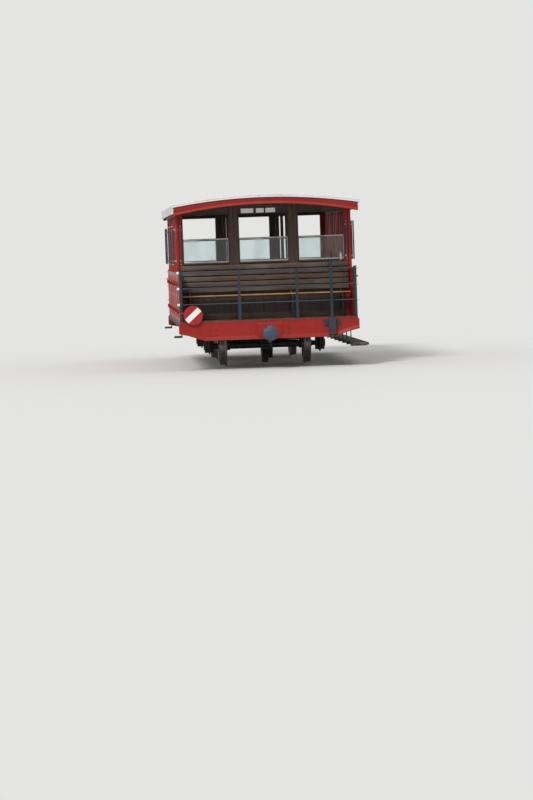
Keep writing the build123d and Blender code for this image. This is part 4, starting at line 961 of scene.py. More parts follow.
@dataclass
class EndBeams:
    """Bolt heads, a kick strip, a deck edge and a lower lip on both headstocks."""

    bolt_radius: float = 0.011
    bolt_height: float = 0.011
    pairs: Sizes = (0.34, 0.92, 1.03)
    rows: Sizes = (0.7, 0.606)
    corner: float = 1.46
    corner_rows: Sizes = (0.70, 0.785)
    foot: Span = (0.9, 1.25)
    half: float = 1.535
    kick: float = 0.06
    proud: float = 0.004
    lip_out: float = 0.026
    knees: Spans = ((1.12, 0.519), (1.4, 0.611), (1.556, 0.647))

    def bolts(self, out: float) -> Shape:
        """Two rows of bolt heads, none behind the brake column's foot, and two at the corners."""
        y, (foot_start, foot_end) = out * COACH.end_y, self.foot
        xs = [s * x for s in (-1, 1) for x in self.pairs]
        places = [(x, y, z) for x in xs for z in self.rows if not foot_start < x < foot_end]
        places += [(s * self.corner, y, z) for s in (-1, 1) for z in self.corner_rows if s * out > 0 or s < 0]
        return Head.HEX.shape(self.bolt_radius, self.bolt_height, (0, out, 0)).repeated(places)

    def kick_strip(self, out: float) -> Shape:
        """The worn kick strip on the floor's edge over the headstock."""
        y, z = out * COACH.end_y, COACH.floor
        return beam((-self.half, y - out * self.kick, z), (self.half, y + out * self.proud, z + self.proud), 0.0018)

    def deck_edge(self, out: float) -> Shape:
        """The painted board that covers the ends of the floor planks."""
        y, half = out * COACH.end_y, self.half + 0.003
        low, high = COACH.frame_top + 0.001, COACH.floor - 0.001
        return beam((-half, y - out * 0.002, low), (half, y + out * self.proud, high), 0.0022)

    def lip_strip(self, out: float) -> Shape:
        """A flat strip along the flared lower edge, following its knees.

        Formula: a thin rectangle carried along the points of the edge.
        """
        half = np.array(self.knees)
        x, z = np.vstack([half[::-1] * (-1, 1), half]).T
        path = np.stack([x, np.full(len(x), out * (COACH.end_y + self.lip_out)), z + 0.007], 1)
        profile = [(-0.006, -0.006), (0.004, -0.006), (0.005, 0.006), (-0.006, 0.008)]
        return carried(profile, path, (0.0, out, 0.0), UP)

    def build(self) -> None:
        """Shows the details of both headstocks."""
        for end, out in ENDS.items():
            show(f"headstock_bolts_{end}", self.bolts(out), Coat.RED)
            show(f"headstock_kick_strip_{end}", self.kick_strip(out), Coat.RIM)
            show(f"headstock_deck_edge_{end}", self.deck_edge(out), Coat.RED_DEEP)
            # The strip's lighter red is a painted highlight along the headstock's lower edge.
            show(f"headstock_lip_{end}", self.lip_strip(out), Coat.RED_PAINTED_HIGHLIGHT)


@dataclass
class CentralBuffer:
    """A red backing plate with a sloping top edge, and a turned housing, stem and domed head."""

    height: float = 0.62
    reach: float = 0.35
    head: float = 0.132
    dome: float = 0.026
    plate_half: float = 0.21
    plate_low: float = 0.52
    plate_high: float = 0.82
    plate_out: float = 0.016
    bolt_xs: Sizes = (-0.178, -0.06, 0.06, 0.178)
    bolt_zs: Sizes = (0.548, 0.742)

    def plate(self, out: float) -> Shape:
        """The plate: its (out, z) profile, with the top edge sloping back, carried across the coach."""
        profile = [
            (0.0, self.plate_low), (self.plate_out - 0.002, self.plate_low), (self.plate_out, self.plate_low + 0.002),
            (self.plate_out, self.plate_high - 0.05), (self.plate_out - 0.004, self.plate_high - 0.042),
            (0.0, self.plate_high),
        ]
        path = [(x, out * COACH.end_y, 0.0) for x in (-self.plate_half, self.plate_half)]
        return carried(profile, path, (0.0, out, 0.0), UP)

    def head_shape(self, out: float) -> Shape:
        """Housing, stem and head as one turned profile.

        Formula: the head's face is the arc along = reach - R + sqrt(R^2 - r^2), with
        R = (head^2 + dome^2) / (2 dome).
        """
        radius = (self.head**2 + self.dome**2) / (2 * self.dome)
        r = np.linspace(self.head - 0.003, 0.0, 22)
        face = np.stack([self.reach - radius + np.sqrt(radius**2 - r**2), r], 1)
        shaft = [
            (0.012, 0.0), (0.012, 0.1), (0.016, 0.104), (0.03, 0.104), (0.034, 0.1), (0.042, 0.084), (0.056, 0.078),
            (0.168, 0.078), (0.17, 0.083), (0.186, 0.083), (0.19, 0.078), (0.19, 0.05), (0.2, 0.045), (0.27, 0.045),
            (0.288, 0.052), (0.298, 0.07), (0.302, 0.12), (0.306, 0.129), (0.31, 0.132), (0.322, 0.132),
        ]
        profile = np.vstack([shaft, face])
        return lathe(profile, (0.0, out * COACH.end_y, self.height), (0.0, out, 0.0), 56)

    def bolts(self, out: float) -> Shape:
        """Eight bolt heads round the edge of the plate."""
        y = out * (COACH.end_y + self.plate_out)
        places = [(x, y, z) for x in self.bolt_xs for z in self.bolt_zs]
        return Head.HEX.shape(0.012, 0.011, (0, out, 0)).repeated(places)

    def build(self) -> None:
        """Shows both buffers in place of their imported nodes."""
        for end, out in ENDS.items():
            show(f"buffer_plate_{end}", self.plate(out), Coat.RED)
            show(f"buffer_bolts_{end}", self.bolts(out), Coat.RED_DEEP)
            head = self.head_shape(out)
            show(f"buffer_head_{end}", head, Coat.BUFFER, instead_of=(f"buffer_{end}",))


@dataclass
class EndRailings:
    """Cap nuts painted white as a painted highlight for polished nuts, collars, post caps and feet of both railings.
    """

    heights: Sizes = (1.148, 1.423, 1.698)
    post_x: float = 1.51
    post_half: float = 0.025
    stanchion_x: float = 0.5
    stanchion_half: float = 0.023
    rod_end: float = 1.5355
    post_top: float = 1.722
    stanchion_top: float = 1.714
    plate: float = 0.01
    nut: float = 0.024

    def nuts(self, y: float) -> Shape:
        """Domed nuts on both tips of each rod, with a washer behind each."""
        r = self.nut
        dome = [(0.0, 0.0), (0.0, r), (0.016, r), (0.028, r * 0.86), (0.037, r * 0.5), (0.041, 0.0)]
        washer = [(-0.003, 0.0), (-0.003, 0.03), (0.0015, 0.03), (0.0025, 0.0)]
        shapes = []
        for side in SIDES.values():
            at = (side * self.rod_end, y, 0.0)
            both = joined([lathe(dome, at, (side, 0, 0), 20), lathe(washer, at, (side, 0, 0), 20)])
            shapes.append(both.repeated([(0, 0, z) for z in self.heights]))
        return joined(shapes)

    def collars(self, y: float) -> Shape:
        """Small collars on the rods at both faces of each stanchion and corner post."""
        collar = [(-0.004, 0.0), (-0.004, 0.017), (0.004, 0.017), (0.006, 0.0125), (0.006, 0.0)]
        shapes = []
        uprights = ((self.stanchion_x, self.stanchion_half), (self.post_x, self.post_half))
        for x, half in [(s * x, half) for x, half in uprights for s in (1, -1)]:
            for way in (-1, 1):
                if abs(x + way * half) < self.post_x + 0.02:
                    shapes.append(lathe(collar, (x + way * half, y, 0), (way, 0, 0), 16))
        return joined(shapes).repeated([(0, 0, z) for z in self.heights])

    def fittings(self, y: float) -> Shape:
        """A cap and a foot plate on each corner post and stanchion, with four bolts in a stanchion's foot."""
        floor, plate = COACH.floor, COACH.floor + self.plate
        shapes = []
        for x in (-self.post_x, self.post_x):
            z = self.post_top
            shapes.append(beam((x - 0.029, y - 0.029, z), (x + 0.029, y + 0.029, z + 0.008), 0.0035, 2))
            shapes.append(beam((x - 0.028, y - 0.034, floor), (x + 0.028, y + 0.034, plate + 0.002), 0.003))
        for x in (-self.stanchion_x, self.stanchion_x):
            z = self.stanchion_top
            shapes.append(beam((x - 0.055, y - 0.034, floor), (x + 0.055, y + 0.034, plate), 0.003))
            bolts = [(x + a, y + b, plate) for a in (-0.04, 0.04) for b in (-0.02, 0.02)]
            shapes.append(Head.HEX.shape(0.009, 0.009, UP).repeated(bolts))
            shapes.append(beam((x - 0.025, y - 0.016, z), (x + 0.025, y + 0.016, z + 0.006), 0.0028, 2))
        return joined(shapes)

    def build(self) -> None:
        """Shows the railings' fittings at both ends."""
        for end, out in ENDS.items():
            y = out * COACH.rail_y
            # The nuts' white paint is a painted highlight that stands in for the glint of polished cap nuts.
            show(f"railing_nuts_painted_highlight_{end}", self.nuts(y), Coat.WHITE)
            show(f"railing_collars_{end}", self.collars(y), Coat.ROD)
            show(f"railing_fittings_{end}", self.fittings(y), Coat.BLUE_BLACK)


@dataclass
class EndSignal:
    """The white bar, the rim and the bolts on the round end signal."""

    x: float = -1.31
    z: float = 0.964
    front: float = -3.708
    radius: float = 0.166
    bar_half: float = 0.15
    bar_half_width: float = 0.046
    rise: float = 42.0
    bolts: Spans = ((-0.045, 0.092), (0.05, -0.09))

    def bar(self) -> Shape:
        """The white bar, which rises to the coach's left."""
        long, wide, y = self.bar_half, self.bar_half_width, self.front
        flat = beam((-long, y - 0.003, -wide), (long, y + 0.001, wide), 0.0018)
        return flat.turned("Y", -self.rise).moved(self.x, 0.0, self.z)

    def rim(self) -> Shape:
        """The disc's rolled rim."""
        r, outer = self.radius, self.radius + 0.0005
        loop = [(-0.009, r - 0.005), (-0.009, outer), (0.0025, outer), (0.003, r - 0.001), (0.001, r - 0.0045)]
        return lathe(loop, (self.x, self.front, self.z), (0, -1, 0), 72, ring=True)

    def build(self) -> None:
        """Shows the bar, the rim and the bolts."""
        show("signal_bar", self.bar(), Coat.WHITE)
        show("signal_rim", self.rim(), Coat.RED_SIGNAL)
        places = [(self.x + x, self.front, self.z + z) for x, z in self.bolts]
        show("signal_bolts", Head.ROUND.shape(0.009, 0.006, (0, -1, 0)).repeated(places), Coat.RED_DEEP)


@dataclass
class HandBrake:
    """Collars, a capping dome, foot bolts and a turned grip on the hand-brake column."""

    x: float = 1.085
    y: float = -3.712
    arm: float = 0.18
    bore: float = 0.02
    bar_bolts: Sizes = (-0.122, -0.082, 0.082, 0.122)
    foot_bolt: float = 0.044
    foot_zs: Sizes = (0.6, 0.69)
    rings: tuple[Vec, ...] = (
        (0.856, 0.036, 0.03), (1.15, 0.0305, 0.016), (1.69, 0.0335, 0.03), (1.742, 0.043, 0.014), (1.8, 0.04, 0.012),
    )

    def collars(self) -> Shape:
        """Turned collars on the column at its foot, its stay and its cap, each ring as (z, radius, height)."""
        shapes, bore = [], self.bore
        for z, r, h in self.rings:
            loop = [(0.0, bore), (0.0, r - 0.003), (0.003, r), (h - 0.003, r), (h, r - 0.003), (h, bore)]
            shapes.append(lathe(loop, (self.x, self.y, z), steps=32, ring=True))
        dome = [(0.0, 0.0), (0.0, bore), (0.006, 0.019), (0.013, 0.012), (0.016, 0.0)]
        shapes.append(lathe(dome, (self.x, self.y, 1.832), steps=24))
        return joined(shapes)

    def grip(self) -> Shape:
        """The turned grip: a barrel whose radius swells by a sine along its length, under a knob."""
        t = np.linspace(0, 1, 15)
        barrel = np.stack([0.112 * t, 0.0165 + 0.0055 * np.sin(math.pi * t) ** 0.8], 1)
        knob = [(0.114, 0.014), (0.118, 0.014), (0.122, 0.018), (0.127, 0.0185), (0.131, 0.013), (0.132, 0.0)]
        profile = np.vstack([[(0.0, 0.0)], barrel, knob])
        return lathe(profile, (self.x + self.arm, self.y, 1.842), steps=28)

    def bolts(self) -> Shape:
        """Bolt heads on the foot bar and on the foot block."""
        bar = [(self.x + x, -3.74, 0.793) for x in self.bar_bolts]
        foot = [(self.x + x, -3.745, z) for x in (-self.foot_bolt, self.foot_bolt) for z in self.foot_zs]
        return Head.HEX.shape(0.0085, 0.008, (0, -1, 0)).repeated(bar + foot)

    def build(self) -> None:
        """Shows the fittings of the column."""
        show("brake_collars", self.collars(), Coat.BLUE_BLACK)
        show("brake_grip", self.grip(), Coat.SASH)
        show("brake_bolts", self.bolts(), Coat.BLUE_BLACK)


# Roof and saloon


def layer(x: Array, top: Array, bottom: Array, y0: float, y1: float) -> Shape:
    """A bent board or sheet across the coach, between two heights given over x.

    Formula: the four rows of points (top, y0), (bottom, y0), (bottom, y1) and (top, y1) are joined round, and a quad
    closes each side.

    Args:
        x: Places across the coach (n,).
        top: Upper heights (n,).
        bottom: Lower heights (n,).
        y0: Start along the coach.
        y1: End along the coach.

    Returns:
        The closed surface.
    """
    n = len(x)
    rows = [np.stack([x, np.full(n, y), z], 1) for z, y in ((top, y0), (bottom, y0), (bottom, y1), (top, y1))]
    sides = np.array([[0, n, 2 * n, 3 * n], [4 * n - 1, 3 * n - 1, 2 * n - 1, n - 1]])
    quads = np.vstack([grid_quads(4, n, wrap_rows=True), sides])
    return Shape(np.vstack(rows), quads, np.zeros((0, 3), int)).outward()


@dataclass
class RoofSkin:
    """Lapped seams of the roof's canvas and the grooved boards of its lining."""

    lap: float = 0.045
    seams: int = 6
    reach: float = 3.1
    canvas_half: float = 1.588
    lining_half: float = 1.488
    lining_end: float = 3.648
    board: float = 0.118
    lining: float = 0.009
    groove: float = 0.005
    bevel: float = 0.004

    def canvas_laps(self) -> Shape:
        """Strips over the roof where two widths of canvas lap: the roof's arc, raised by 2.5 mm."""
        x = np.linspace(-self.canvas_half, self.canvas_half, 49)
        z = COACH.arc(x, COACH.crown, COACH.eave, COACH.roof_half)
        places = np.linspace(-self.reach, self.reach, self.seams)
        strip = layer(x, z + 0.0025, z - 0.004, -self.lap / 2, self.lap / 2)
        return strip.repeated([(0.0, y, 0.0) for y in places])

    def ceiling(self) -> Shape:
        """The lining: the roof's inner arc lowered by its thickness, with a V groove at each board's edge.

        Formula: the groove's depth falls off linearly with the distance from the nearest multiple of the width.
        """
        edges, half = np.arange(-12, 13) * self.board, self.lining_half
        x = np.unique(np.concatenate([edges, edges - self.bevel, edges + self.bevel, [-half, half]]))
        x = x[np.abs(x) <= half]
        inner = COACH.arc(x, COACH.crown - COACH.roof_thickness, COACH.eave - COACH.roof_thickness, COACH.roof_half)
        away = np.abs((x + self.board / 2) % self.board - self.board / 2)
        dip = self.groove * np.clip(1 - away / self.bevel, 0, 1)
        return layer(x, inner + 0.002, inner - self.lining + dip, -self.lining_end, self.lining_end)

    def build(self) -> None:
        """Shows the laps and the lining."""
        show("canvas_laps", self.canvas_laps(), Coat.ROOF)
        show("ceiling_boards", self.ceiling(), Coat.CEILING)


@dataclass
class BulkheadWindows:
    """Half-lowered metal-framed sashes, their sills, stop beads and header mouldings, on both bulkheads.

    A bay is given as its low x, its high x and the y of its bulkhead.
    """

    bays: Spans = ((-1.42, -0.605), (-0.435, 0.435), (0.605, 1.42))
    low: float = 1.848
    high: float = 2.278
    head: float = 2.688
    stile: float = 0.02
    pull: float = 0.06
    pane: float = 0.005
    bead: float = 0.012

    def framed(self, x0: float, x1: float, y: float) -> Shape:
        """A sash's four rounded bars and its pull."""
        t, low, high, middle = 0.011, self.low, self.high, (x0 + x1) / 2
        left, right = x0 + 0.001, x1 - 0.001
        return joined([
            beam((left, y - t, high - 0.024), (right, y + t, high), 0.004, 2),
            beam((left, y - t, low + 0.001), (right, y + t, low + 0.03), 0.004, 2),
            beam((left, y - t, low + 0.02), (x0 + self.stile, y + t, high - 0.01), 0.004, 2),
            beam((x1 - self.stile, y - t, low + 0.02), (right, y + t, high - 0.01), 0.004, 2),
            beam((middle - self.pull, y - 0.02, high - 0.015), (middle + self.pull, y + 0.02, high - 0.008), 0.003, 2),
        ])

    def glass(self, x0: float, x1: float, y: float) -> Shape:
        """A sash's pane, set in its bars."""
        edge = self.stile - 0.006
        low, high = (x0 + edge, y - self.pane / 2, self.low + 0.02), (x1 - edge, y + self.pane / 2, self.high - 0.012)
        return beam(low, high, 0.001)

    def woodwork(self, x0: float, x1: float, y: float) -> Shape:
        """Sill, header moulding and stop beads of one window, on both faces of the bulkhead."""
        shapes, low, head = [], self.low, self.head
        for way in (-1, 1):
            face = y + way * COACH.bulkhead / 2
            back, inner = face - way * 0.004, y + way * 0.0125
            shapes.append(beam((x0, back, low - 0.022), (x1, face + way * 0.018, low), 0.006, 3))
            shapes.append(beam((x0, back, head), (x1, face + way * 0.009, head + 0.018), 0.005, 2))
            for x in (x0, x1 - self.bead):
                shapes.append(beam((x, inner, low), (x + self.bead, face - way * 0.001, head), 0.003, 2))
        return joined(shapes)

    def build(self) -> None:
        """Shows the windows of both bulkheads."""
        ys = [out * COACH.bulkhead_y for out in ENDS.values()]
        each = [(x0, x1, y) for y in ys for x0, x1 in self.bays]
        show("sash_frames", joined([self.framed(*bay) for bay in each]), Coat.SASH)
        panes = joined([self.glass(*bay) for bay in each])
        show("sash_panes", panes, Coat.PANE, instead_of=("bulkhead_sashes",))
        show("window_woodwork", joined([self.woodwork(*bay) for bay in each]), Coat.OAK_ACROSS)


@dataclass
class BulkheadTrim:
    """Corner beads on the middle posts, skirting on the low walls and capping on the partitions."""

    post_in: float = 0.435
    post_out: float = 0.605
    post_face: float = 0.0305
    post_top: float = 2.86
    skirt: float = 0.11
    spans: Spans = ((-1.489, -0.53), (-0.47, 0.47), (0.53, 1.489))

    def posts(self) -> Shape:
        """A half-round bead down both edges of each post's faces and one down its middle."""
        ys = [out * COACH.bulkhead_y + way * self.post_face for out in ENDS.values() for way in (-1, 1)]
        across = (self.post_in + 0.012, (self.post_in + self.post_out) / 2, self.post_out - 0.012)
        xs = [side * x for x in across for side in (-1, 1)]
        return joined([
            beam((x - 0.006, y - 0.0045, COACH.floor), (x + 0.006, y + 0.0045, self.post_top), 0.0044, 3)
            for y in ys for x in xs
        ])

    def skirting(self) -> Shape:
        """Boards along the foot of the low walls, with a rounded top edge."""
        foot, top = COACH.floor, COACH.floor + self.skirt
        bulkheads = [(out * COACH.bulkhead_y, 1.42, COACH.bulkhead / 2 - 0.002) for out in ENDS.values()]
        partitions = [(y, 1.489, 0.013) for y in COACH.partitions]
        return joined([
            beam((-half, y + way * face, foot), (half, y + way * (face + 0.011), top), 0.004, 2)
            for y, half, face in bulkheads + partitions for way in (-1, 1)
        ])

    def capping(self) -> Shape:
        """A rounded rail over each partition, cut round its two posts."""
        return joined([
            beam((x0, y - 0.026, COACH.floor + 0.99), (x1, y + 0.026, COACH.floor + 1.012), 0.009, 3)
            for y in COACH.partitions for x0, x1 in self.spans
        ])

    def build(self) -> None:
        """Shows the trim."""
        show("post_beads", self.posts(), Coat.OAK_UPRIGHT)
        show("skirting_boards", self.skirting(), Coat.OAK_ACROSS)
        show("partition_capping", self.capping(), Coat.OAK_ACROSS)


@dataclass
class Benches:
    """Ten slatted benches: rounded yellow seat slats, sloping back slats in a dark varnish darkened further as painted
    shade, cross rails and back wedges.
    """

    half: float = 1.47
    seat_top: float = 1.288
    depth: float = 0.4
    start: float = 0.102
    slat: float = 0.022
    seat_slats: int = 4
    seat_gap: float = 0.012
    back_slats: int = 5
    back_gap: float = 0.016
    back_low: float = 0.05
    back_top: float = 0.52
    foot: float = 0.096
    lean: float = 0.046
    brackets: Sizes = (-1.33, -0.45, 0.45, 1.33)
    bracket_half: float = 0.015
    rail: float = 0.07

    def places(self) -> list[Span]:
        """Each bench as (y of the wall behind it, way it faces)."""
        wall, thin = COACH.bulkhead / 2 + 0.008, 0.015
        y = COACH.bulkhead_y
        walls = [(-y, wall), *((middle, thin) for middle in COACH.partitions), (y, wall)]
        found = [(-y - wall, -1.0), (y + wall, 1.0)]
        for (low, a), (high, b) in zip(walls, walls[1:]):
            found += [(low + a, 1.0), (high - b, -1.0)]
        return found

    def facing(self, shape: Shape) -> Shape:
        """A piece modelled for a wall at y = 0 and facing +Y, set against every wall and facing its way."""
        turned = {1.0: shape, -1.0: shape.mirrored(1)}
        return joined([turned[way].moved(y=y) for y, way in self.places()])

    def seat_rows(self) -> list[Span]:
        """Where each seat slat starts and ends."""
        width = (self.depth - self.start - (self.seat_slats - 1) * self.seat_gap) / self.seat_slats
        starts = [self.start + n * (width + self.seat_gap) for n in range(self.seat_slats)]
        return [(y, y + width) for y in starts]

    def seat(self) -> Shape:
        """The seat's slats, with rounded edges."""
        low, high = self.seat_top - self.slat, self.seat_top
        return joined([beam((-self.half, y0, low), (self.half, y1, high), 0.0065, 3) for y0, y1 in self.seat_rows()])

    def back(self) -> Shape:
        """The back's slats, turned about X by atan(lean / rise) and set from the foot upwards."""
        tilt = math.atan2(self.lean, self.back_top)
        length = (self.back_top - self.back_low) / math.cos(tilt)
        width = (length - (self.back_slats - 1) * self.back_gap) / self.back_slats
        starts = [n * (width + self.back_gap) for n in range(self.back_slats)]
        slats = joined([beam((-self.half, 0.0, z), (self.half, self.slat, z + width), 0.006, 3) for z in starts])
        foot = self.foot - self.lean * self.back_low / self.back_top
        return slats.turned("X", math.degrees(tilt)).moved(y=foot, z=self.seat_top + self.back_low)

    def supports(self) -> Shape:
        """A rail under the seat and a wedge behind the back at each bracket."""
        foot, slat, top, half = self.foot, self.slat, self.back_top, self.bracket_half
        wedge = [(0.0, -slat), (foot, -slat), (foot, 0.0), (foot - self.lean, top), (0.0, top)]
        low = self.seat_top - slat
        shapes = []
        for x in self.brackets:
            shapes.append(beam((x - half, 0.0, low - self.rail), (x + half, self.depth - 0.018, low), 0.004, 2))
            path = [(x - half, 0.0, self.seat_top), (x + half, 0.0, self.seat_top)]
            shapes.append(carried(wedge, path, (0, 1, 0), UP))
        return joined(shapes)

    def screws(self) -> Shape:
        """A row of brass screws across the seat's slats at each bracket."""
        places = [(x, (y0 + y1) / 2, self.seat_top) for x in self.brackets for y0, y1 in self.seat_rows()]
        return Head.SCREW.shape(0.0055, 0.0018, UP).repeated(places)

    def build(self) -> None:
        """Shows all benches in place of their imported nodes."""
        show("seat_slats", self.facing(self.seat()), Coat.SEAT, instead_of=("bench_seats",))
        # The back slats' dark colour is partly painted shade.
        show("back_slats", self.facing(self.back()), Coat.BACK_SHADED, instead_of=("bench_backs",))
        show("bench_supports", self.facing(self.supports()), Coat.OAK_UPRIGHT)
        show("bench_screws", self.facing(self.screws()), Coat.BRASS)


@dataclass
class NoticePlates:
    """Folded rims and screws of the three blank plates over the middle window."""

    plates: Spans = ((-0.382, 0.22), (-0.118, 0.138), (0.049, 0.171))
    low: float = 2.692
    high: float = 2.784
    face: float = -2.7075
    rim: float = 0.005
    inset: float = 0.014

    def build(self) -> None:
        """Shows the rims and screws."""
        low, high, rim, inset = self.low, self.high, self.rim, self.inset
        front, back = self.face - 0.002, self.face + 0.004
        rims, places = [], []
        for x, width in self.plates:
            end = x + width
            for z in (low, high - rim):
                rims.append(beam((x, front, z), (end, back, z + rim), 0.0015, 2))
            for side in (x, end - rim):
                rims.append(beam((side, front, low), (side + rim, back, high), 0.0015, 2))
            places += [(a, self.face, z) for a in (x + inset, end - inset) for z in (low + inset, high - inset)]
        show("plate_rims", joined(rims), Coat.ENAMEL)
        show("plate_screws", Head.SCREW.shape(0.004, 0.002, (0, -1, 0)).repeated(places), Coat.BRASS)


@dataclass
class GrabRailRoses:
    """Turned roses where the grab rails' stems meet their walls, and domed rail ends."""

    low: float = 1.848
    high: float = 2.508
    inset: float = 0.055
    out: float = 0.046
    rose: float = 0.022
    end_x: float = 1.455
    door_pillars: Sizes = (-2.336, -0.996, 0.344, 1.684)

    def places(self) -> list[tuple[float, float, Vec]]:
        """Each rail as (x, y, direction out of its wall)."""
        found = []
        for side in SIDES.values():
            x = side * (COACH.side + self.out)
            found += [(x, y, (side, 0.0, 0.0)) for y in (*self.door_pillars, -COACH.bulkhead_y, COACH.bulkhead_y)]
            for out in ENDS.values():
                y = out * (COACH.bulkhead_y + COACH.bulkhead / 2 + self.out)
                found.append((side * self.end_x, y, (0.0, out, 0.0)))
        return found

    def build(self) -> None:
        """Shows the roses and rail ends."""
        r = self.rose
        rose = [(0.0, 0.0), (0.0, r), (0.003, r), (0.005, 0.018), (0.008, 0.0125), (0.012, 0.0105), (0.012, 0.0)]
        ball = [(-0.004, 0.0), (-0.004, 0.0135), (0.0, 0.0145), (0.006, 0.0128), (0.011, 0.008), (0.0125, 0.0)]
        shapes = []
        for x, y, way in self.places():
            wall = np.array([x, y, 0.0]) - np.array(way) * self.out
            stems = [(0, 0, self.low + self.inset), (0, 0, self.high - self.inset)]
            shapes.append(lathe(rose, tuple(wall), way, 20).repeated(stems))
            shapes.append(lathe(ball, (x, y, self.high), UP, 20))
            shapes.append(lathe(ball, (x, y, self.low), (0, 0, -1), 20))
        show("grab_rail_roses", joined(shapes), Coat.BRASS)


# Sides and steps


@dataclass(frozen=True)
class DoorPlace:
    """One door leaf: its body, side, edges along the coach, and the way its hinge edge lies (1 towards +Y)."""

    body: str
    side: float
    low: float
    high: float
    hinge: float


def door_places() -> list[DoorPlace]:
    """Every door: four between the bulkheads and one at each end, on both sides."""
    rows = [(-3.579, -3.1685, 1.0)]
    rows += [(middle - 0.29, middle + 0.29, 1.0) for middle in (-2.01, -0.67, 0.67, 2.01)]
    rows += [(3.1685, 3.579, -1.0)]
    return [
        DoorPlace(f"door_{name}_{n + 1}", side, low, high, hinge)
        for name, side in SIDES.items() for n, (low, high, hinge) in enumerate(rows)
    ]


@dataclass
class DoorDetails:
    """Battens, a cap rail, inner boards, strap bolts, a handle rose and a turned knob on every door."""

    bottom: float = 0.866
    top: float = 1.694
    outer: float = 1.535
    inner: float = 1.495
    rail_low: float = 1.26
    rail_high: float = 1.32
    batten: float = 0.062
    proud: float = 0.005
    board: float = 0.093
    straps: Sizes = (1.0405, 1.5105)
    strap_bolts: Sizes = (0.05, 0.13, 0.21, 0.28)
    handle_z: float = 1.548

    def joinery(self, door: DoorPlace) -> Shape:
        """Battens round the outer face and a rail across it, level with the straps, and a rounded cap on top."""
        low, high = door.low + 0.004, door.high - 0.004
        back, front = door.side * (self.outer - 0.003), door.side * (self.outer + self.proud)
        within = door.side * (self.inner - 0.004)
        return joined([
            border((back, front), (low, high), (self.bottom, self.top), self.batten, 0.9 * self.batten, 0.0035, 1),
            beam((back, low + 0.05, self.rail_low), (front, high - 0.05, self.rail_high), 0.0035),
            beam((within, low, self.top - 0.012), (front, high, self.top + 0.004), 0.007, 2),
        ])

    def lining(self, door: DoorPlace) -> Shape:
        """Upright boards on the door's inner face, each with rounded edges."""
        count = round((door.high - door.low - 0.03) / self.board)
        edges = np.linspace(door.low + 0.015, door.high - 0.015, count + 1)
        a, b = door.side * (self.inner + 0.002), door.side * (self.inner - 0.0045)
        return joined([beam((a, y0 + 0.001, 0.88), (b, y1 - 0.001, 1.66), 0.003) for y0, y1 in zip(edges, edges[1:])])

    def fasteners(self, door: DoorPlace) -> Shape:
        """Bolt heads along both straps."""
        edge = door.high if door.hinge > 0 else door.low
        places = [
            (door.side * (self.outer + 0.006), edge - door.hinge * away, z)
            for z in self.straps for away in self.strap_bolts
        ]
        return Head.ROUND.shape(0.0085, 0.005, (door.side, 0, 0)).repeated(places)

    def handle(self, door: DoorPlace) -> Shape:
        """A rose behind the handle and a round knob at its tip."""
        free = door.low if door.hinge > 0 else door.high
        y, z = free + door.hinge * 0.06, self.handle_z
        rose = [(0.0, 0.0), (0.0, 0.028), (0.003, 0.028), (0.006, 0.02), (0.009, 0.012), (0.009, 0.0)]
        knob = [(-0.004, 0.0), (-0.004, 0.0085), (0.003, 0.013), (0.01, 0.0135), (0.016, 0.009), (0.018, 0.0)]
        at = (door.side * (self.outer + 0.031), y + door.hinge * 0.094, z)
        return joined([
            lathe(rose, (door.side * (self.outer - 0.001), y, z), (door.side, 0, 0), 20),
            lathe(knob, at, (0, door.hinge, 0), 16),
        ])

    def build(self) -> None:
        """Shows the details of every door, riding on its door."""
        for door in door_places():
            show(f"{door.body}_joinery", self.joinery(door), Coat.RED, door.body)
            show(f"{door.body}_lining", self.lining(door), Coat.RED_DEEP, door.body)
            show(f"{door.body}_bolts", self.fasteners(door), Coat.RED_DEEP, door.body)
            show(f"{door.body}_handle", self.handle(door), Coat.BRASS, door.body)


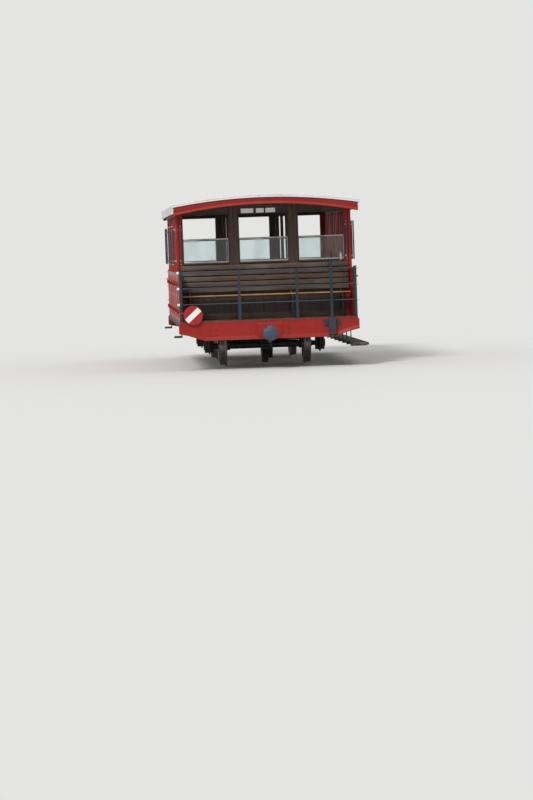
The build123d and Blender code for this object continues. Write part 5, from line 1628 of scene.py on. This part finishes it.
@dataclass
class SideTrim:
    """Battens and cap rails on the fixed panels, beads round the panes and a cornice under each gutter."""

    bays: Spans = (
        (-2.63, -2.366), (-1.654, -1.38), (-1.3, -1.026), (-0.314, -0.04),
        (0.04, 0.314), (1.026, 1.3), (1.38, 1.654), (2.366, 2.63),
    )
    low_bays: Spans = ((-3.1025, -2.73), (2.73, 3.1025))
    face: float = 1.535
    panel: Span = (0.85, 1.664)
    batten: float = 0.045
    cap: Span = (1.694, 1.702)
    pane: float = 1.515
    opening: Span = (1.7, 2.698)
    bead: float = 0.013
    cornice_z: float = 2.76
    cornice_y: float = 3.64

    def panels(self) -> Shape:
        """Battens round every fixed panel and a rounded cap rail over it."""
        shapes, (under, over), wide = [], self.cap, self.batten
        for side in SIDES.values():
            x = (side * (self.face - 0.003), side * (self.face + 0.004))
            for low, high in (*self.bays, *self.low_bays):
                shapes.append(border(x, (low + 0.002, high - 0.002), self.panel, wide, 0.9 * wide, 0.0035, 1))
                shapes.append(beam((side * 1.488, low, under), (side * 1.5395, high, over), 0.0038, 2))
        return joined(shapes)

    def beads(self) -> Shape:
        """Four beads round each pane on both of its faces."""
        faces = (self.pane + 0.003, self.pane - 0.003 - self.bead)
        return joined([
            border((side * x, side * (x + self.bead)), bay, self.opening, self.bead, 0.0)
            for side in SIDES.values() for bay in self.bays for x in faces
        ])

    def cornice(self) -> Shape:
        """A moulding under each gutter: a quarter hollow and a bead carried along the coach.

        Formula: across = 0.026 * (1 - cos t) and high = 0.03 * (sin t - 1), for t from 0 to a right angle.
        """
        t = np.linspace(0, math.pi / 2, 7)
        hollow = np.stack([0.026 * (1 - np.cos(t)), 0.03 * np.sin(t) - 0.03], 1)
        profile = np.vstack([hollow, [(0.03, 0.004), (-0.004, 0.004), (-0.004, -0.032)]])
        shapes = []
        for side in SIDES.values():
            path = [(side * COACH.side, y, self.cornice_z) for y in (-self.cornice_y, self.cornice_y)]
            shapes.append(carried(profile, path, (side, 0, 0), UP))
        return joined(shapes)

    def build(self) -> None:
        """Shows the trim of both sides."""
        show("panel_battens", self.panels(), Coat.RED)
        show("pane_beads", self.beads(), Coat.RED_DEEP)
        show("cornices", self.cornice(), Coat.RED)


@dataclass
class Steps:
    """Planks, edge irons, cross straps and hanger bolts of the long step, and ribs on the small steps."""

    inner: float = 1.42
    width: float = 0.295
    top: float = 0.395
    half: float = 3.64
    planks: int = 3
    gap: float = 0.002
    hangers: int = 9
    reach: float = 3.53
    board_bolts: Sizes = (0.06, 0.2)
    hanger_bolts: Sizes = (0.44, 0.52)
    ribs: int = 6
    rib_x: float = -1.512
    rib_pitch: float = 0.021

    @property
    def ys(self) -> Array:
        """The hangers' places along the coach."""
        return np.linspace(-self.reach, self.reach, self.hangers)

    def board(self) -> Shape:
        """Three tarred planks side by side with rounded edges, in place of the plain board."""
        edges = np.linspace(self.inner, self.inner + self.width, self.planks + 1)
        low, gap, half = self.top - 0.04, self.gap, self.half
        return joined([
            beam((x0 + gap, -half, low), (x1 - gap, half, self.top), 0.005, 2) for x0, x1 in zip(edges, edges[1:])
        ])

    def irons(self) -> Shape:
        """A flat nosing on the outer edge and cross straps over each hanger."""
        outer, half, top = self.inner + self.width, self.half - 0.005, self.top
        shapes = [beam((outer - 0.012, -half, top - 0.036), (outer, half, top + 0.002), 0.002)]
        for y in self.ys:
            shapes.append(beam((self.inner + 0.004, y - 0.02, top), (outer - 0.01, y + 0.02, top + 0.003), 0.0012))
        return joined(shapes)

    def bolts(self) -> Shape:
        """Two bolts through the board and two at the top of each hanger."""
        down = [(self.inner + x, y, self.top + 0.003) for y in self.ys for x in self.board_bolts]
        outward = [(self.inner, y, z) for y in self.ys for z in self.hanger_bolts]
        through = Head.ROUND.shape(0.009, 0.005, UP).repeated(down)
        outside = Head.HEX.shape(0.009, 0.008, RIGHT).repeated(outward)
        return joined([through, outside])

    def small_treads(self) -> Shape:
        """Raised ribs across the small corner steps."""
        xs = [self.rib_x - n * self.rib_pitch for n in range(self.ribs)]
        return joined([
            beam((x, out * 3.285, 0.609), (x - 0.006, out * 3.545, 0.6125), 0.001) for out in ENDS.values() for x in xs
        ])

    def build(self) -> None:
        """Shows the steps' details."""
        show("step_planks", self.board(), Coat.TARRED, instead_of=("running_board",))
        show("step_irons", self.irons(), Coat.RIM)
        show("step_bolts", self.bolts(), Coat.OILED)
        show("small_step_ribs", self.small_treads(), Coat.BLUE_BLACK)


# Wheels, springs and frame


@dataclass
class Wheels:
    """Spoked wheels with rounded rims, turned tyres and bossed hubs, in place of the plain ones.

    The tyre's section, out from the middle of the coach: flange with a round tip, a fillet, the tread with a 1 in 20
    cone, and a bevelled outer face.
    """

    back: float = 0.6805
    tread: float = 0.34
    flange: float = 0.368
    rim: float = 0.288
    hub: float = 0.1
    spokes: int = 10
    height: float = COACH.axle_z

    def tyre(self) -> Shape:
        """The tyre and rim, one closed ring about the X axis on the right-hand side."""
        f, t, r = self.flange, self.tread, self.rim
        profile = [
            (0.0, r + 0.012), (0.0, f - 0.02), (0.002, f - 0.008), (0.008, f - 0.001), (0.014, f), (0.021, f - 0.004),
            (0.026, f - 0.012), (0.03, t + 0.008), (0.036, t + 0.0025), (0.044, t + 0.0005), (0.06, t),
            (0.118, t - 0.003), (0.126, t - 0.006), (0.13, t - 0.012), (0.13, t - 0.03), (0.124, t - 0.034),
            (0.108, t - 0.036), (0.104, r + 0.006), (0.1, r), (0.03, r), (0.012, r + 0.004),
        ]
        return lathe(profile, (self.back, 0, self.height), RIGHT, 96, ring=True)

    def boss(self) -> Shape:
        """The hub with a stepped, rounded face round the axle end."""
        h = self.hub
        profile = [
            (-0.02, 0.0), (-0.02, h - 0.012), (-0.015, h - 0.004), (-0.006, h), (0.022, h + 0.004),
            (0.108, h + 0.004), (0.136, h), (0.145, h - 0.004), (0.15, h - 0.014), (0.15, 0.0),
        ]
        return lathe(profile, (self.back, 0, self.height), RIGHT, 48)

    def spoke(self) -> Shape:
        """One spoke with an oval section that is wider at the hub and at the rim.

        Formula: at share s from hub to rim, half width = 0.024 + 0.02 * (2 s - 1)^4 and
        half depth = 0.019 + 0.008 * (1 - s).
        """
        s = np.linspace(0, 1, 9)
        wide = 0.024 + 0.02 * (2 * s - 1) ** 4
        deep = 0.019 + 0.008 * (1 - s)
        t = np.linspace(0, 2 * math.pi, 14, endpoint=False)
        profile = np.stack([wide[:, None] * np.cos(t), deep[:, None] * np.sin(t)], 2)
        radius = (self.hub - 0.015) + (self.rim + 0.012 - self.hub + 0.015) * s
        path = np.stack([np.full(9, self.back + 0.065), np.zeros(9), self.height + radius], 1)
        return carried(profile, path, (0, 1, 0), RIGHT)

    def wheel(self) -> Shape:
        """A whole wheel on the right-hand side, at y = 0."""
        fan = self.spoke().about_axis(self.spokes, (0, 0, self.height))
        return joined([self.tyre(), self.boss(), fan])

    def build(self) -> None:
        """Shows both pairs of wheels, riding on their axles."""
        wheel = self.wheel()
        for end, y in AXLES.items():
            pair = both_sides(wheel.moved(0, y, 0))
            show(f"wheel_pair_{end}", pair, Coat.RIM, f"wheelset_{end}", instead_of=(f"wheels_{end}",))


@dataclass
class AxleFittings:
    """Collars on both axles, bolts on the brake drum, and the brake cog's raised rim and boss."""

    height: float = COACH.axle_z
    shoulder: float = 0.6355
    outside: float = 0.845
    drum_face: float = 0.135
    bolt_circle: float = 0.13
    cog_face: float = -0.0545

    def collars(self, y: float) -> Shape:
        """Two shoulders inside the wheels and one ring outside each."""
        ring = [(-0.02, 0.06), (-0.02, 0.076), (-0.014, 0.082), (0.014, 0.082), (0.02, 0.076), (0.02, 0.06)]
        small = [(-0.008, 0.044), (-0.008, 0.056), (0.008, 0.056), (0.008, 0.044)]
        shapes = []
        for side in SIDES.values():
            shapes.append(lathe(ring, (side * self.shoulder, y, self.height), RIGHT, 40, ring=True))
            shapes.append(lathe(small, (side * self.outside, y, self.height), RIGHT, 32, ring=True))
        return joined(shapes)

    def drum_bolts(self) -> Shape:
        """Eight bolts round the drum's outer face."""
        y, z = AXLES["uphill"], self.height
        bolt = Head.HEX.shape(0.011, 0.01, RIGHT).moved(self.drum_face, y, z + self.bolt_circle)
        return bolt.about_axis(8, (0, y, z))

    def cog_rims(self) -> Shape:
        """A raised rim and a boss on the cog's free face."""
        ring = [(0.0, 0.2), (0.0, 0.24), (0.006, 0.234), (0.006, 0.206)]
        boss = [(0.0, 0.061), (0.0, 0.105), (0.012, 0.1), (0.014, 0.092), (0.014, 0.061)]
        at = (self.cog_face, AXLES["uphill"], self.height)
        return joined([lathe(ring, at, (-1, 0, 0), 64, ring=True), lathe(boss, at, (-1, 0, 0), 40, ring=True)])

    def build(self) -> None:
        """Shows the fittings on their bodies."""
        for end, y in AXLES.items():
            show(f"axle_collars_{end}", self.collars(y), Coat.CAST, f"wheelset_{end}")
        show("drum_bolts", self.drum_bolts(), Coat.OILED, "brake_cog")
        show("cog_rims", self.cog_rims(), Coat.CAST, "brake_cog")


def at_boxes(shape: Shape) -> Shape:
    """Copies of one fitting, modelled on the right-hand side at y = 0, at all four axle boxes."""
    return both_sides(shape).repeated([(0.0, y, 0.0) for y in AXLES.values()])


@dataclass
class Springs:
    """Laminated springs with rolled eyes, a banded buckle and shackles, in place of the plain ones.

    A leaf's curve: z(y) = base + n * leaf + sag * (half / longest)^2 * (y / half)^2, for leaf n with its own half
    length.
    """

    inner: float = 0.995
    outer: float = 1.075
    base: float = 0.495
    leaf: float = 0.012
    longest: float = 0.47
    sag: float = 0.046
    count: int = 6
    shorter: float = 0.13
    hung: float = 0.63

    @property
    def tip(self) -> float:
        """Height of the top leaf's underside at its ends."""
        return self.base + (self.count - 1) * self.leaf + self.sag

    def one_leaf(self, n: int) -> Shape:
        """Leaf n, counted from the bottom, on the right-hand side at y = 0."""
        half = self.longest * (1 - self.shorter * (self.count - 1 - n))
        y = np.linspace(-half, half, 33)
        lift = self.sag * (half / self.longest) ** 2 * (y / half) ** 2
        e, w, t = 0.002, self.outer - self.inner, self.leaf - 0.0006
        profile = [(0, e), (e, 0), (w - e, 0), (w, e), (w, t - e), (w - e, t), (e, t), (0, t - e)]
        path = np.stack([np.full(len(y), self.inner), y, self.base + n * self.leaf + lift], 1)
        return carried(profile, path, RIGHT, UP)

    def eyes(self) -> Shape:
        """The rolled eyes at both ends of the top leaf, with a pin head through each."""
        shapes = []
        for out in (-1, 1):
            at = (self.inner + 0.001, out * (self.longest - 0.004), self.tip + self.leaf)
            ring = [(0.0, 0.01), (0.0, 0.018), (0.003, 0.02), (0.075, 0.02), (0.078, 0.018), (0.078, 0.01)]
            shapes.append(lathe(ring, at, RIGHT, 20, ring=True))
            shapes.append(lathe([(-0.006, 0.0), (-0.006, 0.011), (0.083, 0.011), (0.083, 0.0)], at, RIGHT, 16))
        return joined(shapes)

    def buckle(self) -> Shape:
        """The band round the middle of the leaves, with a raised rib, and four nuts under it."""
        low, high = self.base - 0.012, self.base + self.count * self.leaf + 0.014
        a, b = self.inner - 0.006, self.outer + 0.008
        shapes = [
            beam((b - 0.012, -0.04, low), (b, 0.04, high), 0.004, 2),
            beam((a, -0.04, low), (a + 0.01, 0.04, high), 0.004, 2),
            beam((a, -0.04, high - 0.012), (b, 0.04, high), 0.004, 2),
            beam((a, -0.04, low), (b, 0.04, low + 0.012), 0.004, 2),
        ]
        nuts = Head.HEX.shape(0.008, 0.008, (0, 0, -1))
        places = [(x, y, low) for x in (a + 0.018, b - 0.018) for y in (-0.022, 0.022)]
        return joined([*shapes, nuts.repeated(places)])

    def shackles(self) -> Shape:
        """A forked hanger at each end of the spring, up to the solebar."""
        shapes = []
        low, high = self.tip - 0.004, self.hung
        for out in (-1, 1):
            y = out * (self.longest - 0.012)
            for x in (self.inner - 0.005, self.outer - 0.005):
                shapes.append(beam((x, y - 0.016, low), (x + 0.008, y + 0.016, high), 0.003, 2))
            a, b = self.inner - 0.006, self.outer + 0.004
            shapes.append(beam((a, y - 0.022, high - 0.018), (b, y + 0.022, high), 0.003, 2))
        return joined(shapes)

    def build(self) -> None:
        """Shows the springs."""
        leaves = joined([self.one_leaf(n) for n in range(self.count)])
        show("spring_leaves", at_boxes(leaves), Coat.OILED, instead_of=("leaf_springs",))
        show("spring_eyes", at_boxes(self.eyes()), Coat.CAST)
        show("spring_buckles", at_boxes(self.buckle()), Coat.CAST)
        show("spring_shackles", at_boxes(self.shackles()), Coat.CAST)


@dataclass
class AxleBoxFronts:
    """Lids with their bolts and raised edges on the four axle boxes, and rivets on their guards."""

    face: float = 1.06
    cover: float = 1.078
    height: float = COACH.axle_z
    half: float = 0.093
    low: float = 0.255
    high: float = 0.481
    edge: float = 0.016
    guard: float = 0.993
    rivet_ys: Sizes = (0.116, 0.16)
    rivet_zs: Sizes = (0.25, 0.31, 0.37, 0.43, 0.49, 0.55)

    def lid(self) -> Shape:
        """The round lid's stepped rim and its six bolts."""
        rim = [(0.0, 0.0), (0.0, 0.066), (0.004, 0.064), (0.007, 0.054), (0.007, 0.038), (0.003, 0.034), (0.003, 0.0)]
        bolt = Head.HEX.shape(0.0065, 0.007, RIGHT).moved(self.cover + 0.004, 0, self.height + 0.0515)
        return joined([
            lathe(rim, (self.cover - 0.0005, 0, self.height), RIGHT, 36),
            bolt.about_axis(6, (0, 0, self.height), 30.0),
        ])

    def casting(self) -> Shape:
        """Raised edges round the face of the box."""
        x = (self.face - 0.002, self.face + 0.006)
        return border(x, (-self.half, self.half), (self.low, self.high), self.edge, self.edge - 0.003)

    def rivets(self) -> Shape:
        """Two rows of rivets down both legs of a guard."""
        places = [(self.guard, out * y, z) for out in (-1, 1) for y in self.rivet_ys for z in self.rivet_zs]
        return Head.ROUND.shape(0.0085, 0.006, RIGHT).repeated(places)

    def build(self) -> None:
        """Shows the fronts."""
        show("box_lids", at_boxes(self.lid()), Coat.OILED)
        show("box_edges", at_boxes(self.casting()), Coat.CAST)
        show("guard_rivets", at_boxes(self.rivets()), Coat.CAST)


@dataclass
class FrameRivets:
    """Rivets, rounded lips and stiffening plates on the solebars, and bolt heads on the sills."""

    web: float = 0.9595
    toe: float = 1.0225
    low: float = 0.628
    high: float = COACH.frame_top
    half: float = 3.57
    flange: float = 0.0125
    plates: Sizes = (-2.3, -1.5, 1.5, 2.3)
    rivet_in: float = 0.045
    by_axles: Sizes = (-2.05, -1.75, 1.75, 2.05)
    sill_z: float = 0.79

    def lips(self) -> Shape:
        """Rounded toes on the channel's flanges, and stiffening plates inside it on both sides of each axle."""
        toe, half, low, high = self.toe, self.half, self.low, self.high
        lips = [beam((toe - 0.002, -half, z), (toe + 0.002, half, z + self.flange), 0.002, 2)
                for z in (low, high - self.flange)]
        plates = [beam((self.web - 0.002, y - 0.005, low + 0.01), (toe - 0.008, y + 0.005, high - 0.01), 0.002)
                  for y in self.plates]
        return both_sides(joined(lips + plates))

    def rivets(self) -> Shape:
        """A pair of rivets on the web every 0.34 m, and two pairs more by each axle."""
        zs = (self.low + self.rivet_in, self.high - self.rivet_in)
        places = [(self.web, y, z) for y in (*np.arange(-3.4, 3.41, 0.34), *self.by_axles) for z in zs]
        return both_sides(Head.ROUND.shape(0.0095, 0.006, RIGHT).repeated(places))

    def sill_bolts(self) -> Shape:
        """Bolt heads along the outer face of both sills."""
        places = [(COACH.side, y, self.sill_z) for y in np.arange(-3.42, 3.43, 0.38)]
        return both_sides(Head.ROUND.shape(0.009, 0.006, RIGHT).repeated(places))

    def build(self) -> None:
        """Shows the rivets and lips."""
        show("solebar_lips", self.lips(), Coat.CAST)
        show("solebar_rivets", self.rivets(), Coat.CAST)
        show("sill_bolts", self.sill_bolts(), Coat.CAST)


PARTS: list = [
    FasciaMouldings(), EndBeams(), CentralBuffer(), EndRailings(), EndSignal(), HandBrake(),
    RoofSkin(), BulkheadWindows(), BulkheadTrim(), Benches(), NoticePlates(), GrabRailRoses(),
    DoorDetails(), SideTrim(), Steps(),
    Wheels(), AxleFittings(), Springs(), AxleBoxFronts(), FrameRivets(),
]


# Floor, light and camera


@dataclass
class Studio:
    """The pale floor, the soft light and the camera at the photograph's angle."""

    floor_radius: float = 380.0
    fade_from: float = 9.0
    fade_to: float = 38.0
    pale: Rgb = (0.78, 0.78, 0.77)
    worn: Rgb = (0.62, 0.62, 0.61)
    sky: float = 0.62
    sun: float = 1.9
    sun_width: float = 14.0
    sun_tilt: float = 52.0
    sun_turn: float = -28.0
    camera_place: Vec = (-2.988, -55.309, 2.057)
    camera_turn: Vec = (3.207, -2.872, -1.9)
    lens: float = 135.0

    def floor(self) -> None:
        """A round floor whose own shadow stays near the coach and which fades into the background far out.

        Formula: rings of points at growing radii round the origin, each ring's radius a fixed multiple of the last.
        """
        steps = 96
        radii = np.geomspace(1.0, self.floor_radius, 14)
        angle = np.linspace(0, 2 * math.pi, steps, endpoint=False)
        ring = np.stack([np.cos(angle), np.sin(angle), np.zeros(steps)], 1)
        points = np.vstack([(radii[:, None, None] * ring).reshape(-1, 3), [[0.0, 0.0, 0.0]]])
        j = np.arange(steps)
        centre = np.stack([j, (j + 1) % steps, np.full(steps, len(points) - 1)], 1)
        quads = grid_quads(len(radii), steps, wrap_columns=True)[:, ::-1]
        mesh = bpy.data.meshes.new("studio_floor")
        mesh.from_pydata(points, [], [*quads.tolist(), *centre.tolist()])
        material = bpy.data.materials.new("studio_floor")
        material.use_nodes = True
        made = NodeMaker(material.node_tree)
        material.node_tree.nodes.clear()
        place = made.place()
        wide = made.noise(place, 0.35, 4.0)
        speck = made.noise(place, 60.0, 2.0)
        tone = made.mix(made.times(wide, 0.12), rgba(self.pale), rgba(self.worn))
        rough = made.span(speck, 0.0, 1.0, 0.75, 0.95)
        matte = made.add("ShaderNodeBsdfPrincipled", {"Base Color": tone, "Roughness": rough})
        far = made.add("ShaderNodeVectorMath", {0: place}, operation="LENGTH").outputs["Value"]
        far = made.span(far, self.fade_from, self.fade_to)
        seen = made.seen()
        glow = made.add("ShaderNodeEmission", {"Color": rgba(self.pale), "Strength": 1.0})
        shown = made.times(far, seen)
        blend = made.add("ShaderNodeMixShader", {0: shown, 1: matte.outputs[0], 2: glow.outputs[0]})
        made.add("ShaderNodeOutputMaterial", {"Surface": blend.outputs[0]})
        mesh.materials.append(material)
        floor = put("studio_floor", mesh)

    def light(self) -> None:
        """A soft even world, pale where the camera or a gloss sees it, and one wide sun from the front left."""
        world = bpy.data.worlds.new("studio")
        world.use_nodes = True
        bpy.context.scene.world = world
        made = NodeMaker(world.node_tree)
        world.node_tree.nodes.clear()
        seen = made.seen()
        soft = made.add("ShaderNodeBackground", {"Color": (1.0, 1.0, 1.0, 1.0), "Strength": self.sky})
        pale = made.add("ShaderNodeBackground", {"Color": rgba(self.pale), "Strength": 1.0})
        both = made.add("ShaderNodeMixShader", {0: seen, 1: soft.outputs[0], 2: pale.outputs[0]})
        made.add("ShaderNodeOutputWorld", {"Surface": both.outputs[0]})
        lamp = bpy.data.lights.new("key", "SUN")
        lamp.energy = self.sun
        lamp.angle = math.radians(self.sun_width)
        put("key", lamp).rotation_euler = (math.radians(self.sun_tilt), 0.0, math.radians(self.sun_turn))

    def camera(self) -> None:
        """The camera at the photograph's place, turned by its yaw, pitch and roll."""
        yaw, pitch, roll = (math.radians(a) for a in self.camera_turn)
        data = bpy.data.cameras.new("camera")
        data.lens = self.lens
        data.sensor_width = 36.0
        data.clip_start, data.clip_end = 0.5, 1200.0
        camera = put("camera", data)
        look = Matrix.Rotation(-yaw, 4, "Z") @ Matrix.Rotation(math.pi / 2 + pitch, 4, "X")
        camera.matrix_world = Matrix.Translation(self.camera_place) @ look @ Matrix.Rotation(roll, 4, "Z")
        bpy.context.scene.camera = camera

    def build(self) -> None:
        """Sets the stage."""
        bpy.context.scene.view_settings.view_transform = "Standard"
        self.floor()
        self.light()
        self.camera()


def dress_nodes() -> None:
    """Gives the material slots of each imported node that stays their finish."""
    doors = [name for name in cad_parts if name.startswith("door_")]
    plan = {
        Coat.RED: ["headstock_uphill", "headstock_downhill", "side_pillars", "side_panels", *doors],
        Coat.RED_DEEP: ["fascia_uphill", "fascia_downhill"],
        Coat.PALE: ["gutters", "roof_edging"],
        Coat.ROOF: ["roof"],
        Coat.OAK_UPRIGHT: ["bulkhead_posts", "partition_posts"],
        # The boarded walls' dark colour is partly painted shade.
        Coat.OAK_BOARDED_SHADED: ["bulkhead_panels", "partition_walls"],
        Coat.OAK_ACROSS: ["bulkhead_headers", "roof_ribs"],
        Coat.OAK_ALONG: ["cantrails"],
        Coat.SEAT: ["bench_seats", "bench_backs"],
        Coat.FLOOR: ["floor"],
        Coat.BLUE_BLACK: ["railing_posts", "brake_column", "board_hangers", "end_steps"],
        Coat.BLACK: ["solebars", "axle_boxes", "axle_guards", "leaf_springs", "coupling_plates", "bench_legs"],
        Coat.ROD: ["railing_rods", "grab_rails"],
        Coat.BRASS: ["grab_rail_stems"],
        Coat.BUFFER: ["buffer_uphill", "buffer_downhill"],
        Coat.CAST: ["wheels_uphill", "wheels_downhill"],
        Coat.OILED: ["axle_uphill", "axle_downhill", "brake_cog", "brake_rigging"],
        Coat.TARRED: ["running_board", "sills"],
        Coat.TIMBER: ["cross_members"],
        Coat.RED_SIGNAL: ["signal_disc"],
        Coat.ENAMEL: ["notice_plates"],
        Coat.PANE: ["side_windows", "bulkhead_sashes"],
    }
    for coat, nodes in plan.items():
        for slot in (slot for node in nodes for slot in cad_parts[node].material_slots):
            slot.material = coat.material()


def main() -> None:
    """Builds the sub-assemblies in order and sets the stage."""
    logging.basicConfig(level=logging.INFO, format="%(name)s %(message)s")
    dress_nodes()
    for part in PARTS:
        LOG.info("building %s", type(part).__name__)
        part.build()
    Studio().build()


if __name__ == "__main__":
    main()
